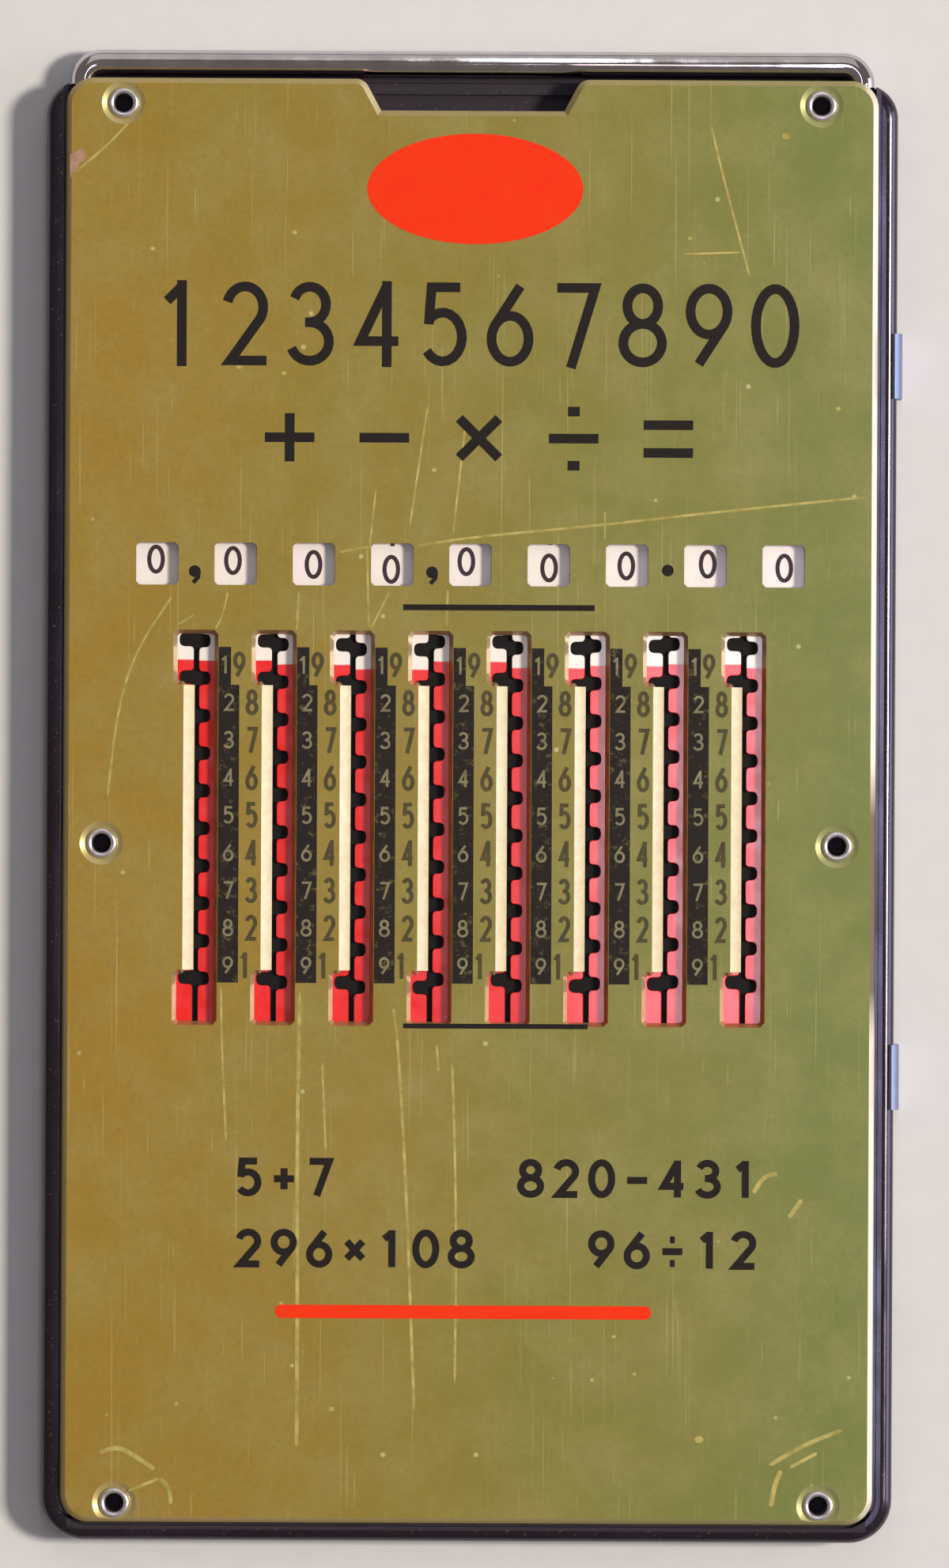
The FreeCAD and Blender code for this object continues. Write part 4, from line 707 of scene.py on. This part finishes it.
# Nickel plate, gone dull: white and soft, with a grey bloom in patches.
nickel, shader, place = start_material("dulled_nickel_plate", Metallic=0.85)
tarnish = add_node(nickel, "TexNoise", {"Vector": place, "Scale": per_metre(0.9), "Detail": 5})
tone = add_node(nickel, "Mix", {0: tarnish.outputs["Fac"], 6: linear("#CAC2C2"), 7: linear("#EFEBEC")},
                data_type="RGBA")
dull = add_node(nickel, "MapRange", {"Value": tarnish.outputs["Fac"], 3: 0.2, 4: 0.36})
pits = add_node(nickel, "Bump", {"Height": tarnish.outputs["Fac"], "Strength": 0.1, "Distance": 0.02 * MM})
connect(nickel, shader, Base_Color=tone.outputs[2], Roughness=dull.outputs["Result"],
        Normal=pits.outputs["Normal"])

eyelet_low, eyelet_high = (corner.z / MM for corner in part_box("eyelets"))
roll = [(EYELET_HEAD - EYELET_ROLL + EYELET_ROLL * math.cos(turn),
         eyelet_high - EYELET_ROLL + EYELET_ROLL * math.sin(turn))
        for turn in (math.radians(angle) for angle in range(-30, 181, 15))]
profile = [(EYELET_BARREL, eyelet_low), (EYELET_BARREL, eyelet_high - BARREL_END_DOWN)] + roll
profile += [(EYELET_BORE, eyelet_high - BORE_MOUTH_DOWN), (EYELET_BORE, eyelet_low)]
corners, faces = [], []
for x, y in EYELET_PLACES + [(-x, y) for x, y in EYELET_PLACES]:
    more_corners, more_faces = turned_rings(profile, x, y, len(corners))
    corners += more_corners
    faces += more_faces
mesh = bpy.data.meshes.new("rolled_eyelets")
mesh.from_pydata([(x * MM, y * MM, z * MM) for x, y, z in corners], [], faces)
mesh.shade_smooth()
mesh.materials.append(nickel)
rolled_eyelets = bpy.data.objects.new("rolled_eyelets", mesh)
bpy.context.collection.objects.link(rolled_eyelets)
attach(rolled_eyelets, "case")
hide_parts("eyelets")


# ---- Clearing bail and its comb --------------------------------------------------------------
# One steel wire bent to a long U and bright chromium plated. Pulled out, its comb of bare steel
# strip, spot-welded across the flattened feet, pushes every slide back to nought.

# Bright chromium: a clear mirror that shows black and white, hazed a little where hands wipe it. The
# wiping marks are drawn coarser than real.
chromium, shader, place = start_material("bright_chromium_plate", Metallic=1.0)
wipe = add_node(chromium, "TexNoise", {"Vector": place, "Scale": per_metre(2.5), "Detail": 5})
tone = add_node(chromium, "Mix", {0: wipe.outputs["Fac"], 6: linear("#B8B0B4"), 7: linear("#E4DFE2")},
                data_type="RGBA")
haze = add_node(chromium, "MapRange", {"Value": wipe.outputs["Fac"], 1: 0.35, 2: 0.75, 3: 0.03, 4: 0.1})
fine = add_node(chromium, "TexNoise", {"Vector": place, "Scale": per_metre(0.4), "Detail": 3})
hairlines = add_node(chromium, "Bump", {"Height": fine.outputs["Fac"], "Strength": 0.03,
                                        "Distance": 0.01 * MM})
connect(chromium, shader, Base_Color=tone.outputs[2], Roughness=haze.outputs["Result"],
        Normal=hairlines.outputs["Normal"])
dress(chromium, "clearing_bail")

# Cold-rolled steel strip: grey, with rolling lines across the machine, drawn coarser than real.
strip_steel, shader, place = start_material("cold_rolled_steel", Metallic=1.0)
rolled = add_node(strip_steel, "Mapping", {"Vector": place, "Scale": (0.04, 1, 1)})
lines = add_node(strip_steel, "TexNoise", {"Vector": rolled.outputs["Vector"], "Scale": per_metre(0.12)})
tone = add_node(strip_steel, "Mix", {0: lines.outputs["Fac"], 6: linear("#77777A"), 7: linear("#A9A9AC")},
                data_type="RGBA")
soft = add_node(strip_steel, "MapRange", {"Value": lines.outputs["Fac"], 3: 0.3, 4: 0.5})
ridges = add_node(strip_steel, "Bump", {"Height": lines.outputs["Fac"], "Strength": 0.2,
                                        "Distance": 0.01 * MM})
connect(strip_steel, shader, Base_Color=tone.outputs[2], Roughness=soft.outputs["Result"],
        Normal=ridges.outputs["Normal"])
dress(strip_steel, "reset_bar")


# ---- Stylus and its clips --------------------------------------------------------------------
# A turned steel pin in the groove of the right side, kept there by two clips of nickelled spring
# strip that curl over the case's shoulder.

# Turned steel, thinly plated: a soft shine, broken by the tool's rings, drawn coarser than real.
turned_steel, shader, place = start_material("turned_and_plated_steel", Metallic=1.0)
ringed = add_node(turned_steel, "Mapping", {"Vector": place, "Scale": (0.1, 1, 0.1)})
rings = add_node(turned_steel, "TexNoise", {"Vector": ringed.outputs["Vector"], "Scale": per_metre(0.15)})
tone = add_node(turned_steel, "Mix", {0: rings.outputs["Fac"], 6: linear("#9B989A"), 7: linear("#CBC8CA")},
                data_type="RGBA")
soft = add_node(turned_steel, "MapRange", {"Value": rings.outputs["Fac"], 3: 0.18, 4: 0.34})
cuts = add_node(turned_steel, "Bump", {"Height": rings.outputs["Fac"], "Strength": 0.25,
                                       "Distance": 0.015 * MM})
connect(turned_steel, shader, Base_Color=tone.outputs[2], Roughness=soft.outputs["Result"],
        Normal=cuts.outputs["Normal"])
dress(turned_steel, "stylus")

# Spring strip, nickelled and gone dull, with a broad, soft shine. Its bluish grey is partly a painted
# reflection of cool surroundings.
clip_nickel, shader, place = start_material("dull_nickel_on_spring_strip", Metallic=0.8)
bloom = add_node(clip_nickel, "TexNoise", {"Vector": place, "Scale": per_metre(1.2), "Detail": 5})
tone = add_node(clip_nickel, "Mix", {0: bloom.outputs["Fac"], 6: linear("#7A82A0"), 7: linear("#949CB8")},
                data_type="RGBA")
soft = add_node(clip_nickel, "MapRange", {"Value": bloom.outputs["Fac"], 3: 0.42, 4: 0.56})
pits = add_node(clip_nickel, "Bump", {"Height": bloom.outputs["Fac"], "Strength": 0.1, "Distance": 0.02 * MM})
connect(clip_nickel, shader, Base_Color=tone.outputs[2], Roughness=soft.outputs["Result"],
        Normal=pits.outputs["Normal"])
dress(clip_nickel, "stylus_clip_upper", "stylus_clip_lower")


# ---- Floor, light and camera -----------------------------------------------------------------
# A plain pale floor and soft lamps: on the right a warm key lamp high up and a wide, cool one lower
# down, and a weak one beyond the top end. A long lens looks straight down on the face.
FLOOR_REACH, FLOOR_DOWN = 3.0, -0.0001
floor_corners = [(-FLOOR_REACH, -FLOOR_REACH), (FLOOR_REACH, -FLOOR_REACH),
                 (FLOOR_REACH, FLOOR_REACH), (-FLOOR_REACH, FLOOR_REACH)]
floor_mesh = bpy.data.meshes.new("floor")
floor_mesh.from_pydata([(x, y, FLOOR_DOWN) for x, y in floor_corners], [], [(0, 1, 2, 3)])

# Pale paper: white with a trace of grey, quite matt, with a faint tooth.
floor_paper, shader, place = start_material("pale_floor_paper", Roughness=0.9)
pulp = add_node(floor_paper, "TexNoise", {"Vector": place, "Scale": per_metre(3), "Detail": 4})
tone = add_node(floor_paper, "Mix", {0: pulp.outputs["Fac"], 6: linear("#D5D6DA"), 7: linear("#DDDEE1")},
                data_type="RGBA")
tooth = add_node(floor_paper, "Bump", {"Height": pulp.outputs["Fac"], "Strength": 0.05,
                                       "Distance": 0.05 * MM})
connect(floor_paper, shader, Base_Color=tone.outputs[2], Normal=tooth.outputs["Normal"])
floor_mesh.materials.append(floor_paper)
floor = bpy.data.objects.new("floor", floor_mesh)
bpy.context.collection.objects.link(floor)


def soft_lamp(name, place, aim, width, height, watts, hex_code):
    """A flat soft lamp turned towards a point, all in metres."""
    light = bpy.data.lights.new(name, "AREA")
    light.shape = "RECTANGLE"
    light.size, light.size_y = width, height
    light.energy = watts
    light.color = linear(hex_code)[:3]
    lamp = bpy.data.objects.new(name, light)
    lamp.location = place
    lamp.rotation_euler = (Vector(aim) - Vector(place)).to_track_quat("-Z", "Y").to_euler()
    bpy.context.collection.objects.link(lamp)


soft_lamp("key_lamp", (2.08, 0.17, 2.15), (0, 0, 0), 0.45, 0.45, 86, "#FFF4E2")
soft_lamp("low_lamp", (3.2, 0.16, 0.72), (0, 0, 0), 1.6, 1.6, 46, "#DCD8FF")
soft_lamp("back_lamp", (0, 1.3, 0.9), (0, 0, 0), 1.6, 1.6, 3.2, "#FFFFFF")

# Three small, weak lamps put the glints on the bail, the case's right shoulder and the slides.
soft_lamp("bail_glint_lamp", (0.02, 0.75, 1.0), (0.02, 0.3, 0), 0.018, 0.7, 0.5, "#FFFFFF")
soft_lamp("shoulder_glint_lamp", (0.09, 0, 1.0), (0.09, 0, 0), 0.04, 0.42, 0.5, "#DEDCFF")
soft_lamp("slide_glint_lamp", (0.042, -0.006, 1.0), (0.042, -0.006, 0), 0.04, 0.09, 0.08, "#FFE6F2")

# A faint, warm light from all round fills the shadows.
world = bpy.data.worlds.new("studio")
world.use_nodes = True
bpy.context.scene.world = world
sky = world.node_tree.nodes["Background"]
sky.inputs["Color"].default_value = linear("#FAF0E6")
sky.inputs["Strength"].default_value = 0.18

# The frame takes in 96.2 by 159 mm at the plate's face, a touch off the middle and turned a hair.
VIEW_HEIGHT = 0.159
VIEW_DISTANCE = 1.0
VIEW_RIGHT, VIEW_UP, VIEW_TURN = 0.51 * MM, 1.76 * MM, 0.0049
view = bpy.data.cameras.new("camera")
view.sensor_fit = "VERTICAL"
view.sensor_height = 24
view.lens = view.sensor_height * VIEW_DISTANCE / VIEW_HEIGHT
camera = bpy.data.objects.new("camera", view)
camera.location = (VIEW_RIGHT, VIEW_UP, plate_face * MM + VIEW_DISTANCE)
camera.rotation_euler = (0, 0, VIEW_TURN)
bpy.context.collection.objects.link(camera)
bpy.context.scene.camera = camera
bpy.context.scene.view_settings.view_transform = "Standard"
